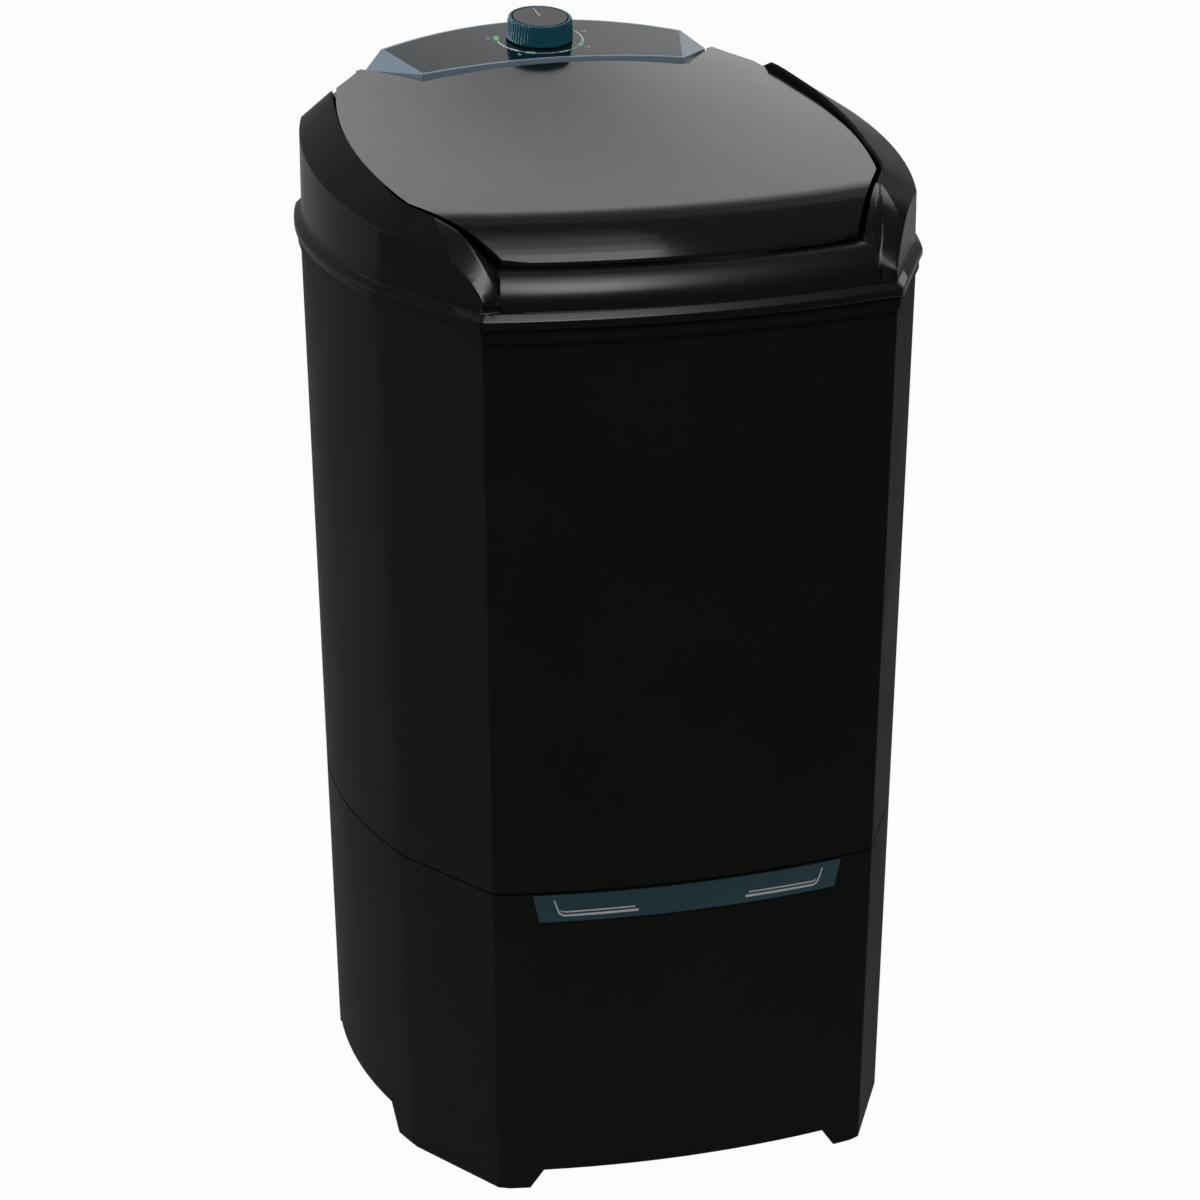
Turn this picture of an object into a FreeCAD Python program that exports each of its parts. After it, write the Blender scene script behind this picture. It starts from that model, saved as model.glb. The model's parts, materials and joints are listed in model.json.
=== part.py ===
import FreeCAD, Part
import math
import os
from types import SimpleNamespace

import Sketcher
from FreeCAD import Placement, Rotation, Vector

# Semi-automatic top-loading washing machine: an octagonal two-piece body with bowed sides, a swept top frame,
# a hinged lid, a rear console with a timer, and a tub whose pulsator is driven by a motor through a belt.
# Millimetres, +Z up, the front faces -Y. The origin is on the floor at the middle of the plan.

# Driving sizes
SIZES = {
    # plan of the body, measured at the top of the cabinet
    "body_width": 464,
    "body_depth": 508,
    "front_panel": 294,
    "front_bow": 15.5,
    "strip_width": 13,
    "strip_fall": 3.5,
    "side_panel": 272,
    "side_bow": 20,
    "edge_round": 2.2,
    "front_drift": 0.25,
    "corner_drift": 0.6,
    "side_drift": 0.12,
    "draft": 1.3,
    "wall": 3,
    # heights of the body
    "seam_height": 257.4,
    "seam_gap": 1.2,
    "cabinet_top": 701,
    "collar_step": 2.4,
    "collar_height": 10,
    "tongue_height": 10,
    "fit_gap": 0.35,
    # feet and bottom cover
    "pad_stand": 0.6,
    "pad_thick": 4,
    "pad_radius": 15,
    "sole_thick": 3,
    "foot_front": 130,
    "foot_side": 108,
    "notch_run": 14,
    "front_lift": 16,
    "side_lift": 23,
    "cover_height": 25,
    "cover_thick": 2.5,
    "cover_flange": 16,
    "flange_thick": 3,
    "vent_width": 6,
    "vent_length": 90,
    "vent_pitch": 22,
    # decorative strip under the seam
    "trim_width": 250,
    "trim_height": 22.5,
    "trim_slant": 5,
    "trim_thick": 1,
    # top frame
    "bead_step": 5,
    "bead_height": 6.2,
    "ledge_height": 4.5,
    "frame_inset": 1,
    "shoulder_front": 763,
    "shoulder_rise": 0.088,
    "shoulder_arc": 93,
    "crest_front": 774,
    "crest_rise": 0.11,
    "crest_arc": 74,
    "arc_start": -163,
    "rear_shoulder": 783,
    "rear_band": 18,
    "rear_crest": 12,
    "rail_gap": 3.5,
    "rail_foot": 735,
    "pillar_face": 15,
    "band_foot": 252,
    "band_round": 25.5,
    "band_shelf": 17,
    "deck_height": 777,
    "deck_front": 106,
    "mouth_drop": 40,
    # lid
    "bow_axis": 338,
    "lid_thick": 3,
    "lid_slope": 0.115,
    "lid_crown": 10,
    "lid_crown_half": 170,
    "crease_radius": 525,
    "crease_height": 773,
    "crease_soft": 6,
    "apron_run": 38,
    "apron_drop": 21.5,
    "lid_width": 393,
    "lid_wide_at": 30,
    "lid_kink_width": 370,
    "lid_kink_at": -116,
    "lid_front_width": 275,
    "lid_front_at": -205.6,
    "lid_rear_width": 353,
    "lid_rear_at": 157,
    "lid_tip_width": 299,
    "lid_tip_at": 186.5,
    "notch_gap": 5,
    "hinge_at": 187,
    "hinge_height": 806,
    "pin_radius": 2,
    "pin_length": 26,
    "pin_play": 0.08,
    "knuckle_radius": 4,
    "knuckle_width": 6,
    # console
    "console_front_width": 221,
    "console_front_at": 137,
    "console_front_bow": 1,
    "console_tip_width": 290,
    "console_tip_at": 189,
    "console_back_width": 256,
    "console_back_at": 203.5,
    "console_back_bow": 18.5,
    "crown_radius": 885,
    "crown_front_height": 821.5,
    "console_tilt": 8.7,
    "tip_height": 809,
    "console_wall": 2.5,
    "face_thick": 1.2,
    "face_margin": 3,
    # timer and knob
    "knob_at": 182,
    "knob_radius": 27.5,
    "knob_top_radius": 25.2,
    "knob_height": 17.5,
    "knob_lift": 1,
    "knob_flutes": 44,
    "flute_radius": 0.7,
    "cap_radius": 22.4,
    "cap_groove": 1,
    "cap_thick": 1.6,
    "timer_shaft_radius": 3,
    "timer_width": 54,
    "timer_length": 42,
    "timer_height": 22,
    # tub
    "tub_gap": 12,
    "tub_floor": 322,
    "tub_floor_inset": 68,
    "tub_wall": 3,
    "tub_flange": 3,
    "tub_front_drift": 0.3,
    "tub_side_drift": 0.25,
    "recess_depth": 16,
    "recess_gap": 4,
    "seal_thick": 1.6,
    # pulsator
    "pulsator_radius": 136,
    "pulsator_thick": 4,
    "pulsator_dish": 14,
    "pulsator_lift": 4,
    "vane_count": 4,
    "vane_height": 20,
    "vane_width": 26,
    "hub_radius": 30,
    # drive
    "shaft_radius": 7,
    "shaft_play": 0.05,
    "bush_wall": 4,
    "bush_length": 24,
    "bearing_flange_radius": 62,
    "bearing_flange": 6,
    "bearing_hub_radius": 20,
    "bearing_bottom": 208,
    "bearing_circle": 54,
    "seal_radius": 16,
    "seal_height": 6,
    "pulley_level": 186,
    "pulley_radius": 105,
    "pulley_rim": 12,
    "pulley_width": 18,
    "motor_pulley_radius": 28,
    "groove_depth": 8,
    "groove_top": 11,
    "groove_bottom": 6,
    "belt_play": 0.35,
    "motor_at": 150,
    "motor_radius": 57,
    "motor_height": 74,
    "motor_shaft_radius": 6,
    "grommet_height": 4,
    "chassis_thick": 3,
    "chassis_half_width": 84,
    "chassis_front": -78,
    "chassis_back": 214,
    "chassis_lip": 12,
    # capacitor
    "capacitor_radius": 17,
    "capacitor_height": 62,
    "capacitor_x": -58,
    "capacitor_y": 66,
    # drain and mains entry
    "drain_x": 100,
    "drain_y": 132,
    "drain_height": 225,
    "drain_radius": 13,
    "drain_wall": 2.5,
    "drain_bend": 30,
    "spigot_reach": 258,
    "spigot_length": 18,
    "spigot_radius": 12.2,
    "spigot_chamfer": 1.5,
    "gland_x": -100,
    "gland_radius": 9,
    # lint filter
    "filter_wall_at": 190,
    "filter_width": 84,
    "filter_height": 118,
    "filter_thick": 9,
    "filter_foot": 540,
    "filter_play": 0.5,
    "guide_wall": 2.5,
    # fasteners
    "screw_radius": 2.1,
    "screw_play": 0.1,
    "screw_head": 4,
    "bolt_radius": 3,
    "bolt_head": 5.5,
}

NODES = []
mm = SimpleNamespace(**SIZES)

doc = FreeCAD.newDocument("washing_machine")
sheet = doc.addObject("Spreadsheet::Sheet", "sizes")
for row, (name, value) in enumerate(SIZES.items(), start=1):
    sheet.set(f"A{row}", name)
    sheet.set(f"B{row}", str(value))
    sheet.setAlias(f"B{row}", name)
doc.recompute()


# Sizes bound to the sheet
class Size:
    """A size worked out from the sheet: its formula and its value, kept together."""

    def __init__(self, formula, amount):
        self.formula = formula
        self.amount = amount

    def __add__(self, other):
        return Size(f"({self.formula} + {formula_of(other)})", self.amount + float(other))

    def __sub__(self, other):
        return Size(f"({self.formula} - {formula_of(other)})", self.amount - float(other))

    def __mul__(self, other):
        return Size(f"({self.formula} * {formula_of(other)})", self.amount * float(other))

    def __truediv__(self, other):
        return Size(f"({self.formula} / {formula_of(other)})", self.amount / float(other))

    def __radd__(self, other):
        return fixed(other) + self

    def __rsub__(self, other):
        return fixed(other) - self

    def __rmul__(self, other):
        return fixed(other) * self

    def __neg__(self):
        return Size(f"(-{self.formula})", -self.amount)

    def __abs__(self):
        return Size(f"abs({self.formula})", abs(self.amount))

    def __float__(self):
        return float(self.amount)


def fixed(amount):
    return amount if isinstance(amount, Size) else Size(f"({amount})", amount)


def formula_of(amount):
    return fixed(amount).formula


def root(size):
    return Size(f"sqrt({size.formula})", math.sqrt(float(size)))


def tangent(angle):
    return Size(f"tan({angle.formula} * 1 deg)", math.tan(math.radians(float(angle))))


def bind(thing, path, size):
    thing.setExpression(path, formula_of(size))


size = SimpleNamespace(**{name: Size(f"sizes.{name}", value) for name, value in SIZES.items()})


# Sketches and features
def new_body(label, x=0, y=0, z=0, tilt=None):
    body = doc.addObject("PartDesign::Body", label)
    place(body, x, y, z, tilt)
    return body


def place(thing, x=0, y=0, z=0, tilt=None):
    """Set a thing down at bound coordinates, leaning forward by the tilt."""
    if tilt is not None:
        thing.Placement = Placement(Vector(), Rotation(Vector(1, 0, 0), float(tilt)))
        bind(thing, "Placement.Rotation.Angle", tilt)
    bind(thing, "Placement.Base.x", x)
    bind(thing, "Placement.Base.y", y)
    bind(thing, "Placement.Base.z", z)


def origin_plane(body, role):
    return next(item for item in body.Origin.OriginFeatures if item.Role == role)


def new_sketch(body, name, role="XY_Plane", offset=0):
    sketch = body.newObject("Sketcher::SketchObject", name)
    sketch.AttachmentSupport = [(origin_plane(body, role), "")]
    sketch.MapMode = "FlatFace"
    bind(sketch, "AttachmentOffset.Base.z", offset)
    return sketch


def outline(sketch, corners):
    """Draw a closed outline through bound corners; a third entry bows the side that follows the corner."""
    first = sketch.GeometryCount
    count = len(corners)
    points = [Vector(float(corner[0]), float(corner[1])) for corner in corners]
    radii = []
    for index, corner in enumerate(corners):
        start = points[index]
        end = points[(index + 1) % count]
        if len(corner) == 2:
            sketch.addGeometry(Part.LineSegment(start, end))
            continue
        bow = float(corner[2])
        run = end - start
        outward = Vector(run.y, -run.x).normalize()
        middle = (start + end) * 0.5 + outward * bow
        arc = Part.Arc(start, middle, end) if bow > 0 else Part.Arc(end, middle, start)
        sketch.addGeometry(arc)
        following = corners[(index + 1) % count]
        span_x = fixed(following[0]) - corner[0]
        span_y = fixed(following[1]) - corner[1]
        rise = abs(fixed(corner[2]))
        radii.append((first + index, (span_x * span_x + span_y * span_y) / (8 * rise) + rise / 2))
    for index, corner in enumerate(corners):
        before = (index - 1) % count
        start_end = ends_of(corner)
        before_end = ends_of(corners[before])
        sketch.addConstraint(
            Sketcher.Constraint("Coincident", first + before, before_end[1], first + index, start_end[0])
        )
        pin_point(sketch, first + index, start_end[0], corner)
    for index, radius in radii:
        number = sketch.addConstraint(Sketcher.Constraint("Radius", index, float(radius)))
        bind(sketch, f"Constraints[{number}]", radius)
    return sketch


def ends_of(corner):
    """Which end of a side is its start: an arc that bows inward runs the other way."""
    return (2, 1) if len(corner) > 2 and float(corner[2]) < 0 else (1, 2)


def pin_point(sketch, index, end, point):
    for kind, axis, amount in (("DistanceX", -2, point[0]), ("DistanceY", -1, point[1])):
        if not isinstance(amount, Size) and amount == 0:
            sketch.addConstraint(Sketcher.Constraint("PointOnObject", index, end, axis))
            continue
        number = sketch.addConstraint(Sketcher.Constraint(kind, index, end, float(amount)))
        bind(sketch, f"Constraints[{number}]", amount)


def circle(sketch, x, y, radius):
    index = sketch.addGeometry(Part.Circle(Vector(float(x), float(y)), Vector(0, 0, 1), float(radius)))
    pin_point(sketch, index, 3, (x, y))
    number = sketch.addConstraint(Sketcher.Constraint("Radius", index, float(radius)))
    bind(sketch, f"Constraints[{number}]", radius)
    return sketch


def box_corners(x_low, x_high, y_low, y_high):
    return [(x_low, y_low), (x_high, y_low), (x_high, y_high), (x_low, y_high)]


def feature(body, kind, name, sketch, length=None, **settings):
    made = body.newObject(f"PartDesign::{kind}", name)
    made.Profile = sketch
    if length is not None:
        bind(made, "Length", length)
    for key, setting in settings.items():
        setattr(made, key, setting)
    return made


def pad(body, name, sketch, length, **settings):
    return feature(body, "Pad", name, sketch, length, **settings)


def pocket(body, name, sketch, length, **settings):
    return feature(body, "Pocket", name, sketch, length, **settings)


def loft(body, name, sketches, kind="AdditiveLoft"):
    made = body.newObject(f"PartDesign::{kind}", name)
    made.Profile = sketches[0]
    made.Sections = sketches[1:]
    made.Ruled = True
    return made


def turn(body, name, corners, angle=360, kind="Revolution"):
    """Turn a profile of radius and height about the body's own Z axis."""
    sketch = outline(new_sketch(body, f"{name}_profile", "XZ_Plane"), corners)
    made = feature(body, kind, name, sketch)
    made.ReferenceAxis = (sketch, ["V_Axis"])
    made.Angle = angle
    return made


def ring_of(body, name, features, count):
    pattern = body.newObject("PartDesign::PolarPattern", name)
    pattern.Originals = features
    pattern.Axis = (origin_plane(body, "Z_Axis"), [""])
    pattern.Angle = 360
    bind(pattern, "Occurrences", count)
    body.Tip = pattern
    return pattern


def keep(thing, label):
    """Enter a finished sub-part under the name of its node."""
    thing.Label = label
    NODES.append(thing)
    return thing


def solid(label, shape):
    thing = doc.addObject("Part::Feature", label)
    thing.Shape = shape
    return thing


def boolean(kind, label, base, tool):
    thing = doc.addObject(f"Part::{kind}", label)
    thing.Base = base
    thing.Tool = tool
    return thing


def cylinder(label, radius, height, x=0, y=0, z=0, tilt=None):
    thing = doc.addObject("Part::Cylinder", label)
    bind(thing, "Radius", radius)
    bind(thing, "Height", height)
    place(thing, x, y, z, tilt)
    return thing


def fuse_all(label, things):
    thing = doc.addObject("Part::MultiFuse", label)
    thing.Shapes = things
    return thing


# Plan of the body
def lean(height):
    """How far the drafted wall has drawn in at a height below the cabinet's top."""
    return (size.cabinet_top - height) * tangent(size.draft)


CHAMFER_RUN = 0.47
CHAMFER_RISE = 0.88
ROUND_SAG = 0.2


def plan(inset):
    """The body's octagon with bowed front, back and sides, narrow corner strips and rounded front edges."""
    inset = fixed(inset)
    front_x = size.front_panel / 2 - size.front_drift * inset
    front_y = size.body_depth / 2 - size.front_bow - inset
    corner_x = size.front_panel / 2 + size.strip_width - size.corner_drift * inset
    corner_y = front_y - size.strip_fall
    side_x = size.body_width / 2 - size.side_bow - inset
    side_y = size.side_panel / 2 - size.side_drift * inset
    strip_x = corner_x - size.edge_round
    strip_y = corner_y + size.edge_round * size.strip_fall / size.strip_width
    turned_x = corner_x + size.edge_round * CHAMFER_RUN
    turned_y = corner_y - size.edge_round * CHAMFER_RISE
    sag = size.edge_round * ROUND_SAG
    return [
        (-front_x, -front_y, size.front_bow),
        (front_x, -front_y),
        (strip_x, -strip_y, sag),
        (turned_x, -turned_y),
        (side_x, -side_y, size.side_bow),
        (side_x, side_y),
        (turned_x, turned_y, sag),
        (strip_x, strip_y),
        (front_x, front_y, size.front_bow),
        (-front_x, front_y),
        (-strip_x, strip_y, sag),
        (-turned_x, turned_y),
        (-side_x, side_y, size.side_bow),
        (-side_x, -side_y),
        (-turned_x, -turned_y, sag),
        (-strip_x, -strip_y),
    ]


def plan_sketch(body, name, height, inset):
    return outline(new_sketch(body, name, "XY_Plane", height), plan(inset))


def plan_ring(body, name, height, outer, inner, thickness):
    """A flat ring that follows the plan between two insets."""
    sketch = plan_sketch(body, f"{name}_plan", height, outer)
    outline(sketch, plan(inner))
    return pad(body, name, sketch, thickness)


def plan_wire(inset, height):
    """The plan as a wire, for the sculpted shells."""
    corners = plan(inset)
    edges = []
    for index, corner in enumerate(corners):
        following = corners[(index + 1) % len(corners)]
        edges.append(side_edge(corner, following, height))
    return Part.Wire(edges)


def side_edge(corner, following, height):
    start = Vector(float(corner[0]), float(corner[1]), height)
    end = Vector(float(following[0]), float(following[1]), height)
    if len(corner) == 2:
        return Part.makeLine(start, end)
    run = end - start
    outward = Vector(run.y, -run.x).normalize()
    middle = (start + end) * 0.5 + outward * float(corner[2])
    return Part.Arc(start, middle, end).toShape()


def plan_solid(inset_low, low, inset_high, high):
    return Part.makeLoft([plan_wire(inset_low, low), plan_wire(inset_high, high)], True, True)


# Base
BITE = 0.5
QUARTERS = ((1, 1), (-1, 1), (-1, -1), (1, -1))


def make_base():
    body = new_body("base_shell")
    seat = size.seam_height - size.seam_gap
    floor = size.pad_stand
    wall = size.wall
    loft(body, "base_outside", [
        plan_sketch(body, "base_foot_plan", floor, lean(floor)),
        plan_sketch(body, "base_top_plan", seat, lean(seat)),
    ])
    loft(body, "base_inside", [
        plan_sketch(body, "base_foot_bore", floor, lean(floor) + wall),
        plan_sketch(body, "base_top_bore", seat, lean(seat) + wall),
    ], "SubtractiveLoft")
    tongue_root = seat - size.tongue_height
    tongue_out = lean(size.seam_height) + wall + size.fit_gap
    seat_inner = lean(seat) + wall - BITE
    plan_ring(body, "tongue_seat", tongue_root, seat_inner, tongue_out + wall, size.tongue_height)
    plan_ring(body, "tongue", seat, tongue_out, tongue_out + wall, size.tongue_height + size.seam_gap)
    ledge = size.cover_height
    inner = lean(ledge) + wall
    plan_ring(body, "cover_ledge", ledge, inner - BITE, inner + size.cover_flange, size.flange_thick)
    screw_holes(body, "cover_screw_holes", ledge, size.flange_thick)
    soles = new_sketch(body, "sole_plan", "XY_Plane", size.pad_thick)
    for turn_x, turn_y in ((1, -1), (1, 1), (-1, 1), (-1, -1)):
        outline(soles, sole_corners(turn_x, turn_y))
    pad(body, "soles", soles, size.sole_thick)
    front = new_sketch(body, "front_arch_plan", "XZ_Plane")
    outline(front, arch_corners(size.foot_front, size.front_lift))
    pocket(body, "front_arch", front, 2 * size.body_depth, Midplane=True)
    side = new_sketch(body, "side_arch_plan", "YZ_Plane")
    outline(side, arch_corners(size.foot_side, size.side_lift))
    pocket(body, "side_arch", side, 2 * size.body_width, Midplane=True)
    outlets = new_sketch(body, "outlet_holes_plan", "XZ_Plane")
    circle(outlets, size.drain_x, size.drain_height, size.drain_radius + size.fit_gap)
    circle(outlets, size.gland_x, size.drain_height, size.gland_radius + size.fit_gap)
    pocket(body, "outlet_holes", outlets, size.body_depth)
    return keep(body, "base_shell")


def cover_screw_places():
    """The screws of the bottom cover sit on the ledge, near the ends of the front, the back and the sides."""
    corners = plan(lean(size.cover_height) + size.wall + size.cover_flange / 2)
    return [corners[index][:2] for index in (0, 1, 4, 5, 8, 9, 12, 13)]


def screw_holes(body, name, low, depth):
    sketch = new_sketch(body, f"{name}_plan", "XY_Plane", low)
    for x, y in cover_screw_places():
        circle(sketch, x, y, size.screw_radius + size.screw_play)
    return pocket(body, name, sketch, depth, Reversed=True)


def sole_corners(turn_x, turn_y):
    """One corner sole: a four-sided web from the front foot end round the chamfer to the side foot end."""
    inset = lean(size.pad_thick) + size.wall - BITE
    corners = plan(inset)
    turned = corners[3]
    side = corners[4]
    points = [
        (size.foot_front, -turned[1]),
        (turned[0], -turned[1]),
        (side[0], -side[1]),
        (side[0], size.foot_side + size.wall),
    ]
    placed = [(point[0] * turn_x, point[1] * turn_y) for point in points]
    return placed if turn_x * turn_y < 0 else placed[::-1]


def arch_corners(reach, lift):
    below = -size.pad_thick
    top = reach - size.notch_run
    return [(-reach, below), (reach, below), (top, lift), (-top, lift)]


def make_foot_pads():
    pads = []
    corner = plan(lean(size.pad_thick) + size.wall)
    pad_x = (corner[3][0] + corner[4][0]) / 2 - size.pad_radius * 1.2
    pad_y = -(corner[3][1] + corner[4][1]) / 2 - size.pad_radius * 0.5
    for index, (turn_x, turn_y) in enumerate(((1, -1), (1, 1), (-1, 1), (-1, -1))):
        pads.append(cylinder(f"pad_{index}", size.pad_radius, size.pad_thick, pad_x * turn_x, pad_y * turn_y))
    group = doc.addObject("Part::Compound", "foot_pads")
    group.Links = pads
    return keep(group, "foot_pads")


def make_bottom_cover():
    body = new_body("bottom_cover")
    top = size.cover_height
    low = top - size.cover_thick
    edge = lean(low) + size.wall + size.fit_gap
    pad(body, "cover_plate", plan_sketch(body, "cover_plan", low, edge), size.cover_thick)
    screw_holes(body, "cover_holes", low, size.cover_thick)
    slot = new_sketch(body, "vent_plan", "XY_Plane", low)
    half = size.vent_width / 2
    outline(slot, box_corners(-size.vent_length / 2, size.vent_length / 2, -half, half))
    vent = pocket(body, "vent", slot, 4 * size.cover_thick, Midplane=True)
    row = body.newObject("PartDesign::LinearPattern", "vents")
    row.Originals = [vent]
    row.Direction = (origin_plane(body, "Y_Axis"), [""])
    bind(row, "Length", 3 * size.vent_pitch)
    row.Occurrences = 4
    body.Tip = row
    return keep(body, "bottom_cover")


# Cabinet
def make_cabinet():
    body = new_body("cabinet_shell")
    seam = size.seam_height
    top = size.cabinet_top
    crown = top + size.collar_height
    step = size.collar_step
    loft(body, "cabinet_outside", [
        plan_sketch(body, "cabinet_foot_plan", seam, lean(seam)),
        plan_sketch(body, "cabinet_neck_plan", top - step, lean(top - step)),
        plan_sketch(body, "collar_foot_plan", top, -step),
        plan_sketch(body, "collar_top_plan", crown, -step),
    ])
    loft(body, "cabinet_inside", [
        plan_sketch(body, "cabinet_foot_bore", seam, lean(seam) + size.wall),
        plan_sketch(body, "cabinet_top_bore", crown, lean(crown) + size.wall),
    ], "SubtractiveLoft")
    return keep(body, "cabinet_shell")


def make_trim():
    """The slim plate just under the seam, curved like the front and slanted at its ends."""
    top = mm.seam_height - mm.seam_gap - 0.8
    low = top - mm.trim_height
    outer = plan_solid(lean(low) - mm.trim_thick - 0.02, low, lean(top) - mm.trim_thick - 0.02, top)
    inner = plan_solid(lean(low) - 0.02, low, lean(top) - 0.02, top)
    skin = outer.cut(inner)
    half = mm.trim_width / 2
    far = -mm.body_depth
    points = [Vector(-half, far, top), Vector(half, far, top)]
    points += [Vector(half - mm.trim_slant, far, low), Vector(-half + mm.trim_slant, far, low)]
    window = Part.Face(Part.makePolygon(points + points[:1])).extrude(Vector(0, mm.body_depth, 0))
    plate = skin.common(window)
    return keep(solid("front_trim", plate), "front_trim")


# Top frame
def circle_through(first, second, third):
    arc = Part.Circle(Vector(*first, 0), Vector(*second, 0), Vector(*third, 0))
    return arc.Center, arc.Radius


def lid_side(y):
    """Half width of the lid at a depth along its bowed side."""
    centre, radius = circle_through(
        (mm.lid_rear_width / 2, mm.lid_rear_at),
        (mm.lid_width / 2, mm.lid_wide_at),
        (mm.lid_kink_width / 2, mm.lid_kink_at),
    )
    return centre.x + math.sqrt(radius ** 2 - (y - centre.y) ** 2)


def shoulder_height(y):
    """Height of the edge where the frame's wall turns into the sloping rail."""
    if y > mm.arc_start:
        return mm.shoulder_front + mm.shoulder_rise * max(0, y + mm.side_panel / 2)
    return mm.shoulder_front - mm.shoulder_arc + math.sqrt(mm.shoulder_arc ** 2 - (y - mm.arc_start) ** 2)


def crest_height(y):
    """Height of the rail's inner edge."""
    if y > mm.arc_start:
        return mm.crest_front + mm.crest_rise * (y - mm.arc_start)
    return mm.crest_front - mm.crest_arc + math.sqrt(max(1, mm.crest_arc ** 2 - (y - mm.arc_start) ** 2))


def wall_point(point, outward):
    """Where a level line from a point meets the frame's wall."""
    line = Part.makeLine(Vector(point.x, point.y, 0), Vector(point.x, point.y, 0) + outward * mm.body_width)
    return line.distToShape(plan_wire(mm.frame_inset, 0))[1][0][1]


FAR = 12
CONCAVE = 0.3
RAIL_FACE = 1.5
RAIL_DROP = 1.2
SIDE_STATIONS = (1, 0.75, 0.5, 0.25, 0, -0.25, -0.5)
# Round the chamfer: share of the lid's slanted side, share of the pillar's width, drop of the inner face
PILLAR_STATIONS = (
    (0.0, 0.1, 1.5),
    (0.22, 0.25, 2.5),
    (0.5, 0.5, 4),
    (0.76, 0.78, 10),
    (0.95, 0.97, 9),
    (1.1, 1.02, 4),
)


def rail_section(crest, outward, face, crest_z, shoulder_z, foot_z, inner_drop):
    """One upright cross-section of the rail: wall, sloping band, concave inner face and inner wall."""
    wall = wall_point(crest, outward)
    reach = (wall - Vector(crest.x, crest.y, 0)).Length
    run_out = (reach + FAR) / reach
    inner = crest - outward * face
    low = mm.cabinet_top
    top = Vector(crest.x, crest.y, crest_z)
    band = Vector(crest.x, crest.y, crest_z) + (wall - Vector(crest.x, crest.y, 0)) * run_out
    band.z = crest_z + (shoulder_z - crest_z) * run_out
    gap = Vector(inner.x, inner.y, crest_z - inner_drop)
    middle = (top + gap) * 0.5 - Vector(0, 0, CONCAVE * inner_drop)
    outer_foot = Vector(band.x, band.y, low)
    inner_foot = Vector(inner.x, inner.y, min(foot_z, gap.z - 2))
    edges = [
        Part.makeLine(outer_foot, band),
        Part.makeLine(band, top),
        Part.Arc(top, middle, gap).toShape(),
        Part.makeLine(gap, inner_foot),
        Part.makeLine(inner_foot, outer_foot),
    ]
    return Part.Wire(edges)


def chamfer_normal():
    corners = plan(mm.frame_inset)
    start = Vector(float(corners[3][0]), float(corners[3][1]))
    end = Vector(float(corners[4][0]), float(corners[4][1]))
    run = end - start
    return Vector(run.y, -run.x).normalize()


def side_section(share):
    """The rail's section at a share of the side's half length from its middle."""
    y = share * mm.side_panel / 2
    crest = Vector(lid_side(y) + mm.rail_gap, y)
    heights = (crest_height(y), shoulder_height(y), mm.rail_foot)
    return rail_section(crest, Vector(1, 0), RAIL_FACE, *heights, RAIL_DROP)


def front_rail_sections():
    """Sections from the side's rear corner, along it, round the chamfer and down to the pillar's foot."""
    sections = [side_section(share) for share in SIDE_STATIONS]
    outward = chamfer_normal()
    kink = Vector(mm.lid_kink_width / 2, mm.lid_kink_at)
    corner = Vector(mm.lid_front_width / 2, mm.lid_front_at)
    run = corner - kink
    across = Vector(-run.y, run.x).normalize()
    turn_out = (Vector(1, 0) + outward).normalize()
    for share, width, drop in PILLAR_STATIONS:
        crest = kink + run * share + across * (mm.rail_gap + mm.pillar_face * width)
        heading = turn_out if share == 0 else outward
        wall = wall_point(crest, heading)
        heights = (crest_height(crest.y), shoulder_height(wall.y), mm.rail_foot)
        sections.append(rail_section(crest, heading, mm.pillar_face * width, *heights, drop))
    strip = plan(mm.frame_inset)
    foot = Vector(float(strip[1][0]), float(strip[1][1]) + mm.strip_fall * 1.6)
    edge = Vector(float(strip[3][0]), float(strip[3][1]))
    heading = (edge - foot).normalize()
    ledge = mm.cabinet_top + mm.collar_height + mm.bead_height + mm.ledge_height
    sections.append(rail_section(foot, heading, mm.pillar_face * 0.7, ledge + 4, ledge + 3.4, ledge - 2, 3))
    return sections


def rear_rail_sections():
    """Sections from the rear corner of the side round the rear chamfer to the middle of the back."""
    sections = [side_section(SIDE_STATIONS[0])]
    corners = plan(mm.frame_inset)
    side = Vector(float(corners[5][0]), float(corners[5][1]))
    turned = Vector(float(corners[6][0]), float(corners[6][1]))
    normal = chamfer_normal()
    outward = Vector(normal.x, -normal.y)
    back = Vector(0, 1)
    diagonal = (outward + back).normalize()
    back_y = mm.body_depth / 2 - mm.frame_inset
    for point, heading in (
        (side + (turned - side) * 0.35, outward),
        (side + (turned - side) * 0.75, outward),
        (turned, diagonal),
        (Vector(mm.front_panel / 3, back_y - mm.front_bow / 2), back),
        (Vector(0, back_y), back),
    ):
        crest = point - heading * mm.rear_band
        crest_z = mm.rear_shoulder + mm.rear_crest
        heights = (crest_z, mm.rear_shoulder, mm.rail_foot)
        sections.append(rail_section(crest, heading, RAIL_FACE, *heights, RAIL_DROP))
    return sections


def cavity_section(wire, depth):
    """The hollow under a rail: the section drawn in by the wall and left open below."""
    outer_foot, band, crest, gap = [vertex.Point for vertex in wire.OrderedVertexes[:4]]
    along = Vector(band.x - gap.x, band.y - gap.y, 0).normalize()
    wall = mm.wall
    points = [
        Vector(outer_foot.x, outer_foot.y, depth),
        band - Vector(0, 0, wall * 1.2),
        crest + along * wall - Vector(0, 0, wall * 2),
        gap + along * wall - Vector(0, 0, wall * 1.6),
    ]
    points.append(Vector(points[3].x, points[3].y, depth))
    return Part.makePolygon(points + points[:1])


def mirrored(shape):
    return shape.mirror(Vector(), Vector(1, 0, 0))


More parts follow.
